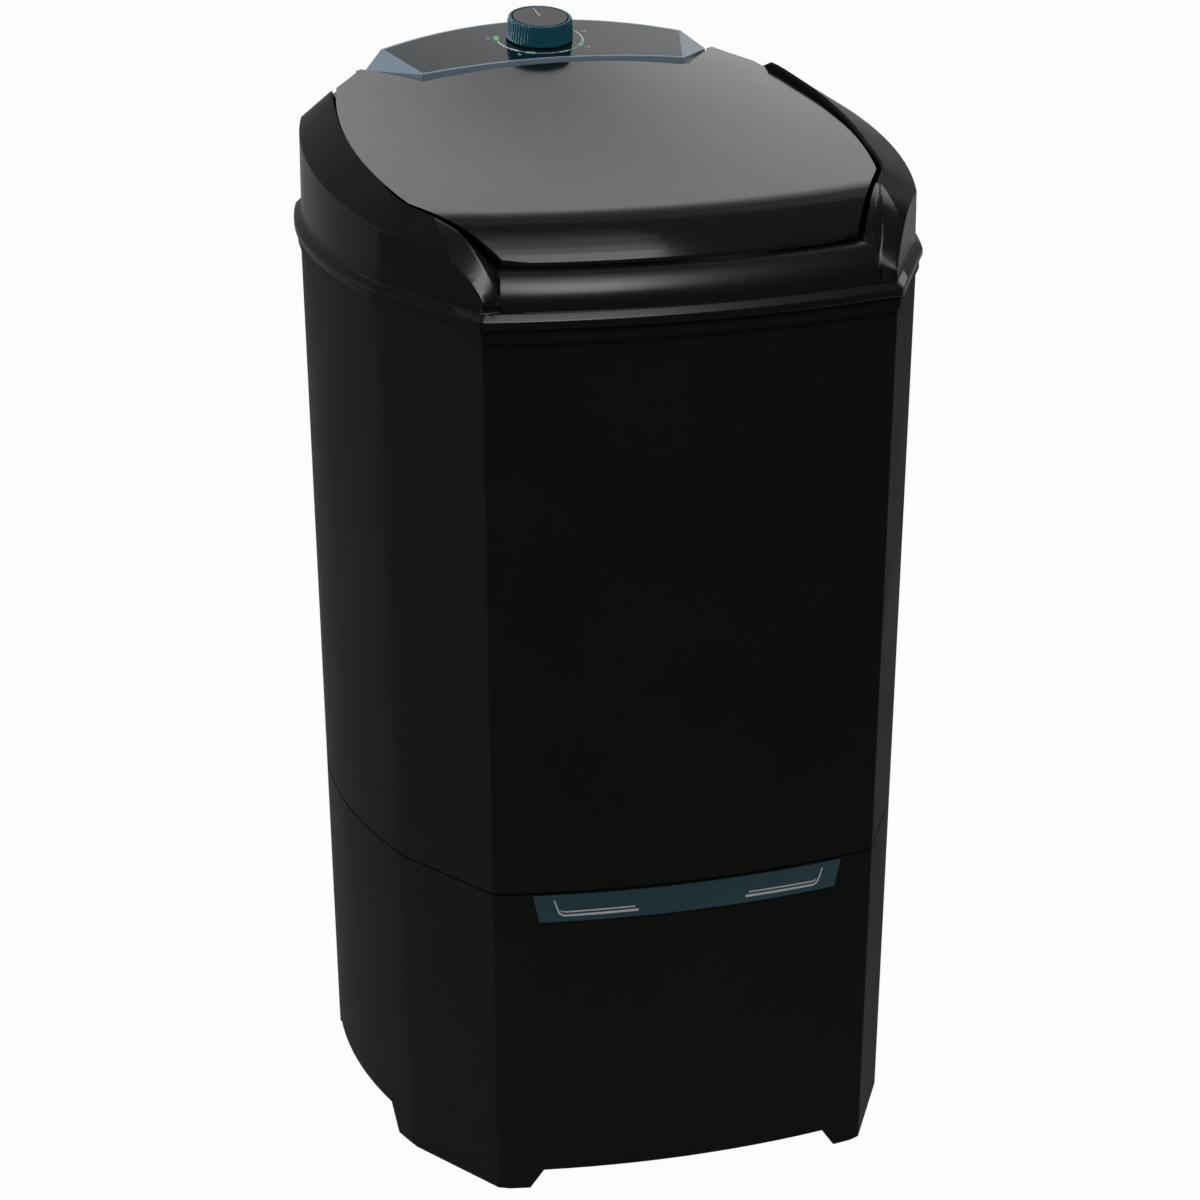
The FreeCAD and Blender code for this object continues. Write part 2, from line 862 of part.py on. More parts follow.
def make_top_frame():
    ring_foot = mm.cabinet_top + mm.collar_height
    bead_top = ring_foot + mm.bead_height
    ledge = bead_top + mm.ledge_height
    ceiling = mm.crest_front + 80
    flange_room = ring_foot + mm.tub_flange + mm.seal_thick + mm.fit_gap
    prism = plan_solid(mm.frame_inset, flange_room, mm.frame_inset, ceiling)
    hollow = plan_solid(mm.frame_inset + mm.wall, ring_foot - 5, mm.frame_inset + mm.wall, ceiling)
    front_sections = front_rail_sections()
    rear_sections = rear_rail_sections()
    front_rail = Part.makeLoft(front_sections, True, False, False, 3)
    rear_rail = Part.makeLoft(rear_sections, True, True)
    depth = ring_foot - 8
    front_void = Part.makeLoft([cavity_section(wire, depth) for wire in front_sections[:-3]], True, True)
    rear_void = Part.makeLoft([cavity_section(wire, depth) for wire in rear_sections], True, True)
    right = front_rail.fuse(rear_rail).common(prism)
    right = right.cut(front_void.common(hollow)).cut(rear_void.common(hollow))
    bead = plan_solid(-mm.bead_step, ring_foot + mm.fit_gap, -mm.bead_step, bead_top)
    slope = plan_solid(-mm.bead_step, bead_top, mm.frame_inset, ledge)
    rim = bead.fuse(slope)
    rim_inner = mm.frame_inset + mm.wall + 2
    rim = rim.cut(plan_solid(rim_inner, ring_foot - 1, rim_inner, ledge + 1))
    rim = rim.cut(plan_solid(-0.2, ring_foot - 1, -0.2, flange_room))
    parts = [right, mirrored(right), rim, front_band(ring_foot), rear_deck(prism)]
    frame = parts[0]
    for part in parts[1:]:
        frame = frame.fuse(part)
    return keep(solid("top_frame", frame.removeSplitter()), "top_frame")


def front_band(ring_foot):
    """The glossy quarter-round band under the lid's front edge, turned about the axis of the front's bow."""
    ledge = ring_foot + mm.bead_height + mm.ledge_height
    foot = -mm.band_foot
    wall = mm.wall
    rounding = mm.band_round
    back = foot + rounding
    shelf = back + mm.band_shelf
    top = ledge + rounding

    def at(y, z):
        return Vector(0, y, z)

    def quarter(y, z, radius):
        slant = radius * math.sqrt(0.5)
        return Part.Arc(at(y - radius, z), at(y - slant, z + slant), at(y, z + radius)).toShape()

    low = ring_foot + mm.tub_flange + mm.seal_thick + mm.fit_gap
    edges = [
        Part.makeLine(at(foot, low), at(foot, ledge)),
        quarter(back, ledge, rounding),
        Part.makeLine(at(back, top), at(shelf, top)),
        Part.makeLine(at(shelf, top), at(shelf, low + 8)),
        Part.makeLine(at(shelf, low + 8), at(shelf - wall, low + 8)),
        Part.makeLine(at(shelf - wall, low + 8), at(shelf - wall, top - wall)),
        Part.makeLine(at(shelf - wall, top - wall), at(back, top - wall)),
        quarter(back, ledge, rounding - wall),
        Part.makeLine(at(foot + wall, ledge), at(foot + wall, low)),
        Part.makeLine(at(foot + wall, low), at(foot, low)),
    ]
    axis = Vector(0, mm.bow_axis, 0)
    half_turn = math.degrees(math.asin((mm.front_panel / 2) / (mm.bow_axis + mm.band_foot)))
    face = Part.Face(Part.Wire(edges))
    face.rotate(axis, Vector(0, 0, 1), -half_turn)
    return face.revolve(axis, Vector(0, 0, 1), 2 * half_turn)


def rear_deck(prism):
    """The plate under the console, with a lip down to the tub's mouth."""
    reach = mm.body_width
    wall = mm.wall
    plate = Part.makeBox(reach, mm.body_depth, wall, Vector(-reach / 2, mm.deck_front, mm.deck_height - wall))
    lip_at = Vector(-reach / 2, mm.deck_front, mm.deck_height - mm.mouth_drop)
    lip = Part.makeBox(reach, wall, mm.mouth_drop, lip_at)
    edge = mm.frame_inset + wall - 1
    inside = plan_solid(edge, mm.rail_foot, edge, mm.deck_height + 1)
    return plate.fuse(lip).common(inside)


# Lid
LID_STATIONS = (-1, -0.75, -0.5, -0.25, 0, 0.25, 0.5, 0.75, 1)
LID_STEPS = 4


def lid_height(x, y):
    """Top of the lid: a shallow cone about the axis of the front's bow, crowned more towards the rear."""
    rise = mm.crease_radius - math.hypot(x, mm.bow_axis - y)
    share = rise / (mm.crease_radius - mm.bow_axis + mm.console_front_at)
    crown = mm.lid_crown * share**2 * (1 - (x / mm.lid_crown_half) ** 2)
    return mm.crease_height + mm.lid_slope * rise + crown


def lid_section(x):
    """Section of the lid along the machine: apron, soft crease and crowned top, all of one thickness."""
    fall = mm.apron_drop / mm.apron_run
    thick = Vector(0, 0, mm.lid_thick)

    def at(radius, height):
        return Vector(x, mm.bow_axis - math.sqrt(radius**2 - x**2), height)

    tip = at(mm.crease_radius + mm.apron_run, mm.crease_height - mm.apron_drop)
    crease = at(mm.crease_radius, mm.crease_height)
    below = at(mm.crease_radius + mm.crease_soft, mm.crease_height - mm.crease_soft * fall)
    above = at(mm.crease_radius - mm.crease_soft, 0)
    back = mm.lid_tip_at + mm.knuckle_radius
    top = []
    for step in range(LID_STEPS + 1):
        y = above.y + (back - above.y) * step / LID_STEPS
        top.append(Vector(x, y, lid_height(x, y)))
    soft = (below + crease * 2 + top[0]) * 0.25
    upper = Part.BSplineCurve()
    upper.interpolate(top)
    lower = Part.BSplineCurve()
    lower.interpolate([point - thick for point in reversed(top)])
    return Part.Wire([
        Part.makeLine(tip, below),
        Part.Arc(below, soft, top[0]).toShape(),
        upper.toShape(),
        Part.makeLine(top[-1], top[-1] - thick),
        lower.toShape(),
        Part.Arc(top[0] - thick, soft - thick, below - thick).toShape(),
        Part.makeLine(below - thick, tip - thick),
        Part.makeLine(tip - thick, tip),
    ])


def make_lid():
    """A lofted skin trimmed to the lid's plan, with a knuckle under each ear."""
    half = mm.lid_width / 2 + 2 * mm.lid_thick
    skin = Part.makeLoft([lid_section(share * half) for share in LID_STATIONS], True, False, False, 3)
    floor = mm.crease_height - mm.body_width / 2
    blank = Part.Face(corners_wire(lid_corners(), floor)).extrude(Vector(0, 0, mm.body_width))
    lid = skin.common(blank)
    outer = float(hinge_outer())
    along = Vector(1, 0, 0)
    radius = mm.knuckle_radius
    low = mm.hinge_height - radius
    high = lid_height(outer, mm.hinge_at) - mm.lid_thick / 2
    for start in (outer - mm.knuckle_width, -outer):
        barrel_at = Vector(start, mm.hinge_at, mm.hinge_height)
        barrel = Part.makeCylinder(radius, mm.knuckle_width, barrel_at, along)
        web_at = Vector(start, mm.hinge_at - 3 * radius, low)
        web = Part.makeBox(mm.knuckle_width, 3 * radius, high - low, web_at)
        lid = lid.fuse([barrel, web])
    across = Vector(-mm.body_width, mm.hinge_at, mm.hinge_height)
    bore = Part.makeCylinder(mm.pin_radius + mm.pin_play, 2 * mm.body_width, across, along)
    return keep(solid("lid", lid.cut(bore)), "lid")


def hinge_outer():
    """Where the outer end of a lid knuckle lies, just inside the ear's slanted edge."""
    return size.lid_tip_width / 2 + size.knuckle_width / 2


def lid_corners():
    """Mirrored outline: front edge, slanted front sides, bowed sides, ears and the console's notch."""
    front_x = size.lid_front_width / 2
    kink_x = size.lid_kink_width / 2
    rear_x = size.lid_rear_width / 2
    tip_x = size.lid_tip_width / 2
    notch_x = size.console_front_width / 2 + 1.5
    notch_y = size.console_front_at - size.notch_gap - 1
    share = (size.lid_wide_at - size.lid_kink_at) / (size.lid_rear_at - size.lid_kink_at)
    bow = size.lid_width / 2 - (kink_x + (rear_x - kink_x) * share)
    return [
        (-front_x, size.lid_front_at, size.apron_run * 0.66),
        (front_x, size.lid_front_at),
        (kink_x, size.lid_kink_at, bow),
        (rear_x, size.lid_rear_at),
        (tip_x, size.lid_tip_at),
        (notch_x, notch_y, -size.console_front_bow),
        (-notch_x, notch_y),
        (-tip_x, size.lid_tip_at),
        (-rear_x, size.lid_rear_at, bow),
        (-kink_x, size.lid_kink_at),
    ]


def make_hinge_pins():
    pins = []
    for side, x in (("right", hinge_outer() - size.pin_length), ("left", -hinge_outer())):
        pin = cylinder(f"{side}_pin", size.pin_radius, size.pin_length)
        pin.Placement = Placement(Vector(), Rotation(Vector(0, 1, 0), 90))
        place(pin, x, size.hinge_at, size.hinge_height)
        pins.append(pin)
    group = doc.addObject("Part::Compound", "hinge_pins")
    group.Links = pins
    return keep(group, "hinge_pins")


# Console
def console_corners():
    """Plan of the console: bowed front and back, slanted ends that meet at a tip."""
    front_x = size.console_front_width / 2
    tip_x = size.console_tip_width / 2
    back_x = size.console_back_width / 2
    return [
        (-front_x, size.console_front_at, size.console_front_bow),
        (front_x, size.console_front_at),
        (tip_x, size.console_tip_at),
        (back_x, size.console_back_at, size.console_back_bow),
        (-back_x, size.console_back_at),
        (-tip_x, size.console_tip_at),
    ]


def void_corners():
    """Plan of the console's hollow, which leaves the ends solid round the hinge pins."""
    wall = size.console_wall
    front_x = size.console_front_width / 2 - wall
    back_x = size.console_back_width / 2 - 2 * wall
    return [
        (-front_x, size.console_front_at + wall, size.console_front_bow),
        (front_x, size.console_front_at + wall),
        (back_x, size.console_back_at - wall, size.console_back_bow),
        (-back_x, size.console_back_at - wall),
    ]


def face_corners(gap):
    """Plan of the faceplate, inside a margin of the housing."""
    inset = size.face_margin + gap
    front_x = size.console_front_width / 2 - inset * 0.5
    back_x = size.console_back_width / 2 - inset * 0.7
    front_y = size.console_front_at + inset
    back_y = size.console_back_at - inset * 0.7
    return [
        (-front_x, front_y, size.console_front_bow),
        (front_x, front_y),
        (back_x, back_y, size.console_back_bow),
        (-back_x, back_y),
    ]


def console_block(label, corners, low):
    body = new_body(label)
    sketch = outline(new_sketch(body, f"{label}_plan", "XY_Plane", low), corners)
    pad(body, f"{label}_pad", sketch, size.crown_front_height + 60 - low)
    return body


def sine(angle):
    return Size(f"sin({angle.formula} * 1 deg)", math.sin(math.radians(float(angle))))


def cosine(angle):
    return Size(f"cos({angle.formula} * 1 deg)", math.cos(math.radians(float(angle))))


def crown(label, sunk):
    """A long drum whose top is the console's crowned, tilted face, sunk by a depth."""
    reach = size.body_depth
    radius = size.crown_radius - sunk
    front = size.console_front_at - size.console_front_bow
    drum = doc.addObject("Part::Cylinder", label)
    bind(drum, "Radius", radius)
    bind(drum, "Height", 2 * reach)
    drum.Placement = Placement(Vector(), Rotation(Vector(-1, 0, 0), 90 - mm.console_tilt))
    bind(drum, "Placement.Rotation.Angle", 90 - size.console_tilt)
    rise = sine(size.console_tilt)
    run = cosine(size.console_tilt)
    bind(drum, "Placement.Base.y", front + size.crown_radius * rise - reach * run)
    bind(drum, "Placement.Base.z", size.crown_front_height - size.crown_radius * run - reach * rise)
    return drum


def crest_line(y):
    """Height of the console's face on its middle line."""
    front = size.console_front_at - size.console_front_bow
    return size.crown_front_height + (y - front) * tangent(size.console_tilt)


def face_height(x, y):
    radius = mm.crown_radius
    drop = radius - math.sqrt(radius ** 2 - x ** 2)
    return float(crest_line(y)) - drop / math.cos(math.radians(mm.console_tilt))


def end_facets(label, sunk):
    """Blocks above the planes that slope from the face's ends down to the console's tips."""
    blocks = []
    front = Vector(mm.console_front_width / 2, mm.console_front_at, 0)
    back = Vector(mm.console_back_width / 2, mm.console_back_at, 0)
    front.z = face_height(front.x, front.y)
    back.z = face_height(back.x, back.y)
    tip = Vector(mm.console_tip_width / 2, mm.console_tip_at, mm.tip_height)
    normal = (back - front).cross(tip - front).normalize()
    normal = normal if normal.z > 0 else normal * -1
    along = (back - front).normalize()
    across = normal.cross(along)
    reach = mm.body_width / 4
    middle = (front + back) * 0.5 - normal * sunk
    corners = [middle + (along * a + across * b) * reach for a, b in QUARTERS]
    block = Part.Face(Part.makePolygon(corners + corners[:1])).extrude(normal * reach)
    blocks.append(solid(f"{label}_right", block))
    blocks.append(solid(f"{label}_left", mirrored(block)))
    return blocks


def cut_by(label, base, tools):
    """Cut tools from a base one after another and give the result its label."""
    thing = base
    for index, tool in enumerate(tools):
        last = index == len(tools) - 1
        thing = boolean("Cut", label if last else f"{label}_cut_{index}", thing, tool)
    return thing


def make_console():
    low = size.deck_height
    skin = size.console_wall + size.face_thick
    block = console_block("console_block", console_corners(), low)
    shell = boolean("Common", "console_crowned", block, crown("face_drum", 0))
    void = console_block("console_void", void_corners(), low - size.wall)
    inside = boolean("Common", "console_void_crowned", void, crown("void_drum", skin))
    inside = cut_by("console_hollow", inside, end_facets("inner_facet", mm.console_wall))
    recess_block = console_block("recess_block", face_corners(-0.2), low)
    recess = boolean("Cut", "face_recess", recess_block, crown("recess_drum", size.face_thick + 0.1))
    pins = cylinder("pin_holes", size.pin_radius + 0.05, size.body_width)
    pins.Placement = Placement(Vector(), Rotation(Vector(0, 1, 0), 90))
    place(pins, -size.body_width / 2, size.hinge_at, size.hinge_height)
    shaft_hole = timer_cylinder("housing_shaft_hole", size.timer_shaft_radius + 1, -40, 60)
    tools = end_facets("outer_facet", 0) + [inside, recess, pins, shaft_hole] + timer_holes("housing")
    keep(cut_by("console_housing", shell, tools), "console_housing")
    face_block = console_block("face_block", face_corners(0), low)
    plate = boolean("Common", "face_crowned", face_block, crown("plate_drum", 0))
    plate_hole = timer_cylinder("plate_shaft_hole", size.timer_shaft_radius + 1, -40, 60)
    under = crown("plate_under", size.face_thick)
    return keep(cut_by("console_faceplate", plate, [under, plate_hole]), "console_faceplate")


# Timer and knob, on an axis square to the console's face
def timer_place(along):
    """A point on the timer's axis, by its distance out of the face."""
    y = size.knob_at - along * sine(size.console_tilt)
    return 0, y, crest_line(size.knob_at) + along * cosine(size.console_tilt)


def timer_cylinder(label, radius, low, high):
    x, y, z = timer_place(low)
    return cylinder(label, radius, high - low, x, y, z, size.console_tilt)


TIMER_SCREW_X = 18
TIMER_HEAD_SEAT = 1.6
TIMER_HEAD_THICK = 1.2


def timer_holes(owner):
    """Counterbored screw holes through the console's skin, under the faceplate."""
    holes = []
    skin = size.console_wall + size.face_thick
    for side in (-1, 1):
        steps = (
            ("shank", size.screw_radius + size.screw_play, -skin - 1),
            ("head", size.screw_head + size.screw_play, -size.face_thick - TIMER_HEAD_SEAT),
        )
        for part, radius, low in steps:
            hole = timer_cylinder(f"{owner}_{part}_hole_{side + 1}", radius, low, fixed(2))
            bind(hole, "Placement.Base.x", side * TIMER_SCREW_X)
            holes.append(hole)
    return holes


def make_timer():
    skin = size.console_wall + size.face_thick
    x, y, z = timer_place(0)
    body = new_body("timer_body", x, y, z, size.console_tilt)
    half_x = size.timer_width / 2
    half_y = size.timer_length / 2
    bow = 3
    reach = half_x + bow
    top = -skin - reach * reach / (size.crown_radius * 2) - 0.05
    case = new_sketch(body, "timer_case_plan", "XY_Plane", top - size.timer_height)
    outline(case, [(-half_x, -half_y), (half_x, -half_y, bow), (half_x, half_y), (-half_x, half_y, bow)])
    pad(body, "timer_case", case, size.timer_height)
    bore = new_sketch(body, "timer_bore_plan", "XY_Plane", top)
    circle(bore, 0, 0, size.timer_shaft_radius + size.shaft_play)
    pocket(body, "timer_bore", bore, size.timer_height - 4)
    holes = new_sketch(body, "timer_screw_plan", "XY_Plane", top)
    for side in (-1, 1):
        circle(holes, fixed(side * TIMER_SCREW_X), 0, size.screw_radius - 0.55)
    pocket(body, "timer_screw_holes", holes, 10)
    terminals = new_sketch(body, "terminal_plan", "XY_Plane", top - size.timer_height)
    for column in range(-2, 3):
        outline(terminals, box_corners(fixed(column * 8 - 2), fixed(column * 8 + 2), fixed(8), fixed(9)))
    pad(body, "terminals", terminals, 8, Reversed=True)
    keep(body, "timer_body")
    low = 6 - skin - size.timer_height
    high = size.knob_lift + size.knob_height - 5
    keep(timer_cylinder("timer_shaft", size.timer_shaft_radius, low, high), "timer_shaft")
    screws = []
    for side in (-1, 1):
        seat = -size.face_thick - TIMER_HEAD_SEAT
        head = timer_cylinder(f"timer_head_{side + 1}", size.screw_head, seat, seat + TIMER_HEAD_THICK)
        shank = timer_cylinder(f"timer_shank_{side + 1}", size.screw_radius - 0.6, -skin - 9, seat)
        for piece in (head, shank):
            bind(piece, "Placement.Base.x", side * TIMER_SCREW_X)
        screws.append(fuse_all(f"timer_screw_{side + 1}", [head, shank]))
    group = doc.addObject("Part::Compound", "timer_screws")
    group.Links = screws
    return keep(group, "timer_screws")


def make_knob():
    x, y, z = timer_place(size.knob_lift)
    body = new_body("timer_knob", x, y, z, size.console_tilt)
    wall = 2.5
    cap_seat = size.knob_height - size.cap_thick
    boss = size.timer_shaft_radius + 4
    bore = size.timer_shaft_radius + 0.05
    turn(body, "knob_skirt", [
        (bore, 0),
        (boss, 0),
        (boss, cap_seat - wall),
        (size.knob_top_radius - wall - 1, cap_seat - wall),
        (size.knob_radius - wall, 0),
        (size.knob_radius, 0),
        (size.knob_radius, wall),
        (size.knob_top_radius + 1, size.knob_height - 1),
        (size.knob_top_radius, size.knob_height),
        (size.cap_radius + size.cap_groove, size.knob_height),
        (size.cap_radius + size.cap_groove, cap_seat),
        (bore, cap_seat),
    ])
    flute_plan = new_sketch(body, "flute_plan", "XY_Plane", wall)
    circle(flute_plan, size.knob_radius + 0.1, 0, size.flute_radius)
    flute = pocket(body, "flute", flute_plan, size.knob_height, Reversed=True)
    ring_of(body, "flutes", [flute], size.knob_flutes)
    keep(body, "timer_knob")
    x, y, z = timer_place(size.knob_lift + cap_seat)
    cap = new_body("knob_cap", x, y, z, size.console_tilt)
    pad(cap, "cap_disc", circle(new_sketch(cap, "cap_plan"), 0, 0, size.cap_radius), size.cap_thick)
    mark = new_sketch(cap, "mark_plan", "XY_Plane", size.cap_thick)
    outline(mark, box_corners(fixed(-0.9), fixed(0.9), size.cap_radius * 0.35, size.cap_radius * 0.92))
    pocket(cap, "mark", mark, 0.4)
    return keep(cap, "knob_cap")


# Tub
def tub_corners(inset):
    inset = fixed(inset)
    front_x = size.front_panel / 2 - size.tub_front_drift * inset
    front_y = size.body_depth / 2 - size.front_bow - inset
    side_x = size.body_width / 2 - size.side_bow - inset
    side_y = size.side_panel / 2 - size.tub_side_drift * inset
    return [
        (-front_x, -front_y, size.front_bow),
        (front_x, -front_y),
        (side_x, -side_y, size.side_bow),
        (side_x, side_y),
        (front_x, front_y, size.front_bow),
        (-front_x, front_y),
        (-side_x, side_y, size.side_bow),
        (-side_x, -side_y),
    ]


def tub_sketch(body, name, height, inset):
    return outline(new_sketch(body, name, "XY_Plane", height), tub_corners(inset))


def pan_floor():
    return size.tub_floor - size.recess_depth


def pan_under():
    return pan_floor() - size.tub_wall


CHASSIS_BOLTS = ((66, -62), (-66, -62), (70, 166), (-70, 166))


def make_tub():
    body = new_body("wash_tub")
    rim = size.cabinet_top + size.collar_height
    top = rim + size.tub_flange
    floor = size.tub_floor
    under = floor - size.tub_wall
    wall = size.tub_wall
    loft(body, "tub_outside", [
        tub_sketch(body, "tub_foot_plan", under, size.tub_floor_inset),
        tub_sketch(body, "tub_rim_plan", top, size.tub_gap),
    ])
    flange = plan_sketch(body, "tub_flange_plan", rim, fixed(0.3))
    outline(flange, tub_corners(size.tub_gap + wall / 2))
    pad(body, "tub_flange", flange, size.tub_flange)
    recess = size.pulsator_radius + size.recess_gap
    pan = circle(new_sketch(body, "pan_plan", "XY_Plane", pan_under()), 0, 0, recess + wall)
    pad(body, "pan", pan, under - pan_under() + wall / 2)
    bosses = new_sketch(body, "boss_plan", "XY_Plane", chassis_top())
    for x, y in CHASSIS_BOLTS:
        circle(bosses, fixed(x), fixed(y), 2.6 * size.bolt_radius)
    pad(body, "bosses", bosses, under - chassis_top() + wall / 2)
    loft(body, "tub_inside", [
        tub_sketch(body, "tub_floor_bore", floor, size.tub_floor_inset + wall),
        tub_sketch(body, "tub_rim_bore", top, size.tub_gap + wall),
    ], "SubtractiveLoft")
    well = circle(new_sketch(body, "well_plan", "XY_Plane", pan_floor()), 0, 0, recess)
    pocket(body, "well", well, size.recess_depth + 1, Reversed=True)
    hub = new_sketch(body, "hub_hole_plan", "XY_Plane", pan_floor())
    circle(hub, 0, 0, size.bearing_hub_radius + size.fit_gap)
    pocket(body, "hub_hole", hub, 4 * wall, Midplane=True)
    drain = new_sketch(body, "drain_hole_plan", "XY_Plane", floor)
    circle(drain, size.drain_x, size.drain_y, size.drain_radius - size.drain_wall)
    pocket(body, "drain_hole", drain, 4 * wall, Midplane=True)
    screws = new_sketch(body, "boss_hole_plan", "XY_Plane", chassis_top())
    for x, y in CHASSIS_BOLTS:
        circle(screws, fixed(x), fixed(y), size.bolt_radius + 0.1)
    pocket(body, "boss_holes", screws, 7, Reversed=True)
    return keep(body, "wash_tub")


def make_rim_seal():
    body = new_body("tub_rim_seal")
    low = size.cabinet_top + size.collar_height + size.tub_flange
    plan_ring(body, "rim_seal", low, fixed(0.8), fixed(4.8), size.seal_thick)
    return keep(body, "tub_rim_seal")


# Pulsator and its shaft
def pulsator_foot():
    return pan_floor() + size.pulsator_lift


def make_pulsator():
    body = new_body("pulsator", 0, 0, pulsator_foot())
    bore = size.shaft_radius + size.shaft_play
    edge = size.pulsator_radius
    thick = size.pulsator_thick
    dish = size.pulsator_dish
    hub = size.hub_radius
    turn(body, "disc", [
        (bore, dish - 5),
        (hub * 0.7, dish - 5),
        (hub, dish),
        (edge - 3, 0),
        (edge, 0),
        (edge, thick),
        (edge - 6, thick + 2),
        (hub * 1.6, dish + thick, -1),
        (hub, dish + thick + 6),
        (hub * 0.6, dish + thick + 8),
        (bore, dish + thick + 8),
    ])
    start = hub * 0.8
    end = edge - 8
    vane_foot = new_sketch(body, "vane_foot_plan", "XY_Plane", thick)
    vane_top = new_sketch(body, "vane_top_plan", "XY_Plane", dish + size.vane_height)
    vane = loft(body, "vane", [
        outline(vane_foot, lens(start, end, size.vane_width / 2)),
        outline(vane_top, lens(start, end - 24, size.vane_width / 5)),
    ])
    ring_of(body, "vanes", [vane], size.vane_count)
    return keep(body, "pulsator")


def lens(start, end, bow):
    return [(start, 0, bow), (end, 0, bow)]


def shaft_top():
    return pulsator_foot() + size.pulsator_dish + size.pulsator_thick + 4


def make_drive_shaft():
    body = new_body("drive_shaft")
    low = size.pulley_level - size.pulley_width - 2
    top = shaft_top()
    radius = size.shaft_radius
    thread = radius / 2 + 0.05
    turn(body, "shaft", [
        (0, low),
        (radius - 1, low),
        (radius, low + 1),
        (radius, top),
        (thread, top),
        (thread, top - 18),
        (0, top - 18),
    ])
    keep(body, "drive_shaft")
    bolt = new_body("pulsator_bolt")
    seat = pulsator_foot() + size.pulsator_dish + size.pulsator_thick + 8
    turn(bolt, "bolt", [
        (0, top - 16),
        (radius / 2, top - 16),
        (radius / 2, seat),
        (radius + 5, seat),
        (radius + 5, seat + 2),
        (radius + 2, seat + 6),
        (0, seat + 7),
    ])
    return keep(bolt, "pulsator_bolt")


def bearing_seat():
    """Underside of the pan, where the bearing housing's flange bolts on."""
    return pan_under()


def chassis_top():
    return bearing_seat() - size.bearing_flange


def make_bearing():
    body = new_body("bearing_housing")
    seat = bearing_seat()
    bore = size.shaft_radius + size.bush_wall + 0.05
    top = seat + size.tub_wall + 8
    hub = size.bearing_hub_radius
    turn(body, "housing", [
        (bore, size.bearing_bottom),
        (hub, size.bearing_bottom),
        (hub, chassis_top()),
        (size.bearing_flange_radius, chassis_top()),
        (size.bearing_flange_radius, seat),
        (hub, seat),
        (hub, top),
        (size.seal_radius + 0.1, top),
        (size.seal_radius + 0.1, top - size.seal_height),
        (bore, top - size.seal_height),
    ])
    gusset = new_sketch(body, "gusset_plan", "XZ_Plane")
    outline(gusset, [
        (hub - 2, size.bearing_bottom + 12),
        (hub, size.bearing_bottom + 12),
        (size.bearing_circle - 10, chassis_top() - 1),
        (size.bearing_circle - 10, chassis_top() + 1),
        (hub - 2, chassis_top() + 1),
    ])
    rib = pad(body, "gusset", gusset, 5, Midplane=True)
    ring_of(body, "gussets", [rib], 6)
    holes = new_sketch(body, "bearing_holes_plan", "XY_Plane", seat)
    spread = size.bearing_circle * math.sqrt(0.5)
    for x, y in QUARTERS:
        circle(holes, x * spread, y * spread, size.bolt_radius + 0.2)
    pocket(body, "bearing_holes", holes, 2 * size.bearing_flange)
    keep(body, "bearing_housing")
    bushes = []
    for index, low in enumerate((size.bearing_bottom + 2, top - size.seal_height - size.bush_length)):
        bush = new_body(f"bush_{index}", 0, 0, low)
        inner = size.shaft_radius + size.shaft_play
        outer = size.shaft_radius + size.bush_wall
        turn(bush, f"bush_ring_{index}", box_corners(inner, outer, 0, size.bush_length))
        bushes.append(bush)
    group = doc.addObject("Part::Compound", "shaft_bushes")
    group.Links = bushes
    keep(group, "shaft_bushes")
    seal = new_body("shaft_seal", 0, 0, top - size.seal_height + 0.1)
    inner = size.shaft_radius + 0.1
    turn(seal, "seal", [
        (inner + 3, 0),
        (size.seal_radius, 0),
        (size.seal_radius, size.seal_height),
        (inner, size.seal_height - 1),
        (inner, size.seal_height - 2.5),
        (inner + 3, size.seal_height - 4),
    ])
    return keep(seal, "shaft_seal")


# Pulleys and belt
def groove(radius, half):
    """The V-groove's part of a pulley's rim, from its lower edge to its upper edge."""
    return [
        (radius, -half),
        (radius, -size.groove_top / 2),
        (radius - size.groove_depth, -size.groove_bottom / 2),
        (radius - size.groove_depth, size.groove_bottom / 2),
        (radius, size.groove_top / 2),
        (radius, half),
    ]


def hexagon_corners(reach):
    turns = [math.radians(60 * corner) for corner in range(6)]
    return [(reach * math.cos(angle), reach * math.sin(angle)) for angle in turns]


def make_pulleys():
    half = size.pulley_width / 2
    big = new_body("driven_pulley", 0, 0, size.pulley_level)
    bore = size.shaft_radius + 0.05
    hub = size.shaft_radius + 10
    rim = size.pulley_radius - size.pulley_rim
    turn(big, "wheel", [
        (bore, -half), (hub, -half), (hub, -2), (rim, -2), (rim, -half),
        *groove(size.pulley_radius, half),
        (rim, half), (rim, 2), (hub, 2), (hub, half + 3), (bore, half + 3),
    ])
    hole_at = (hub + rim) / 2
    hole_plan = circle(new_sketch(big, "lightening_plan"), hole_at, 0, (rim - hub) / 3)
    hole = pocket(big, "lightening", hole_plan, size.pulley_width, Midplane=True)
    ring_of(big, "lightenings", [hole], 6)
    keep(big, "driven_pulley")
    nut = new_body("pulley_nut", 0, 0, size.pulley_level - half - 7)
    hexagon = new_sketch(nut, "nut_plan")
    across = size.shaft_radius + 5
    outline(hexagon, hexagon_corners(across))
    circle(hexagon, 0, 0, bore)
    pad(nut, "nut", hexagon, 7)
    keep(nut, "pulley_nut")
    small = new_body("motor_pulley", 0, size.motor_at, size.pulley_level)
    bore = size.motor_shaft_radius + 0.05
    boss = size.motor_shaft_radius + 7
    turn(small, "small_wheel", [
        (bore, -half),
        *groove(size.motor_pulley_radius, half),
        (boss, half), (boss, half + 6), (bore, half + 6),
    ])
    return keep(small, "motor_pulley")


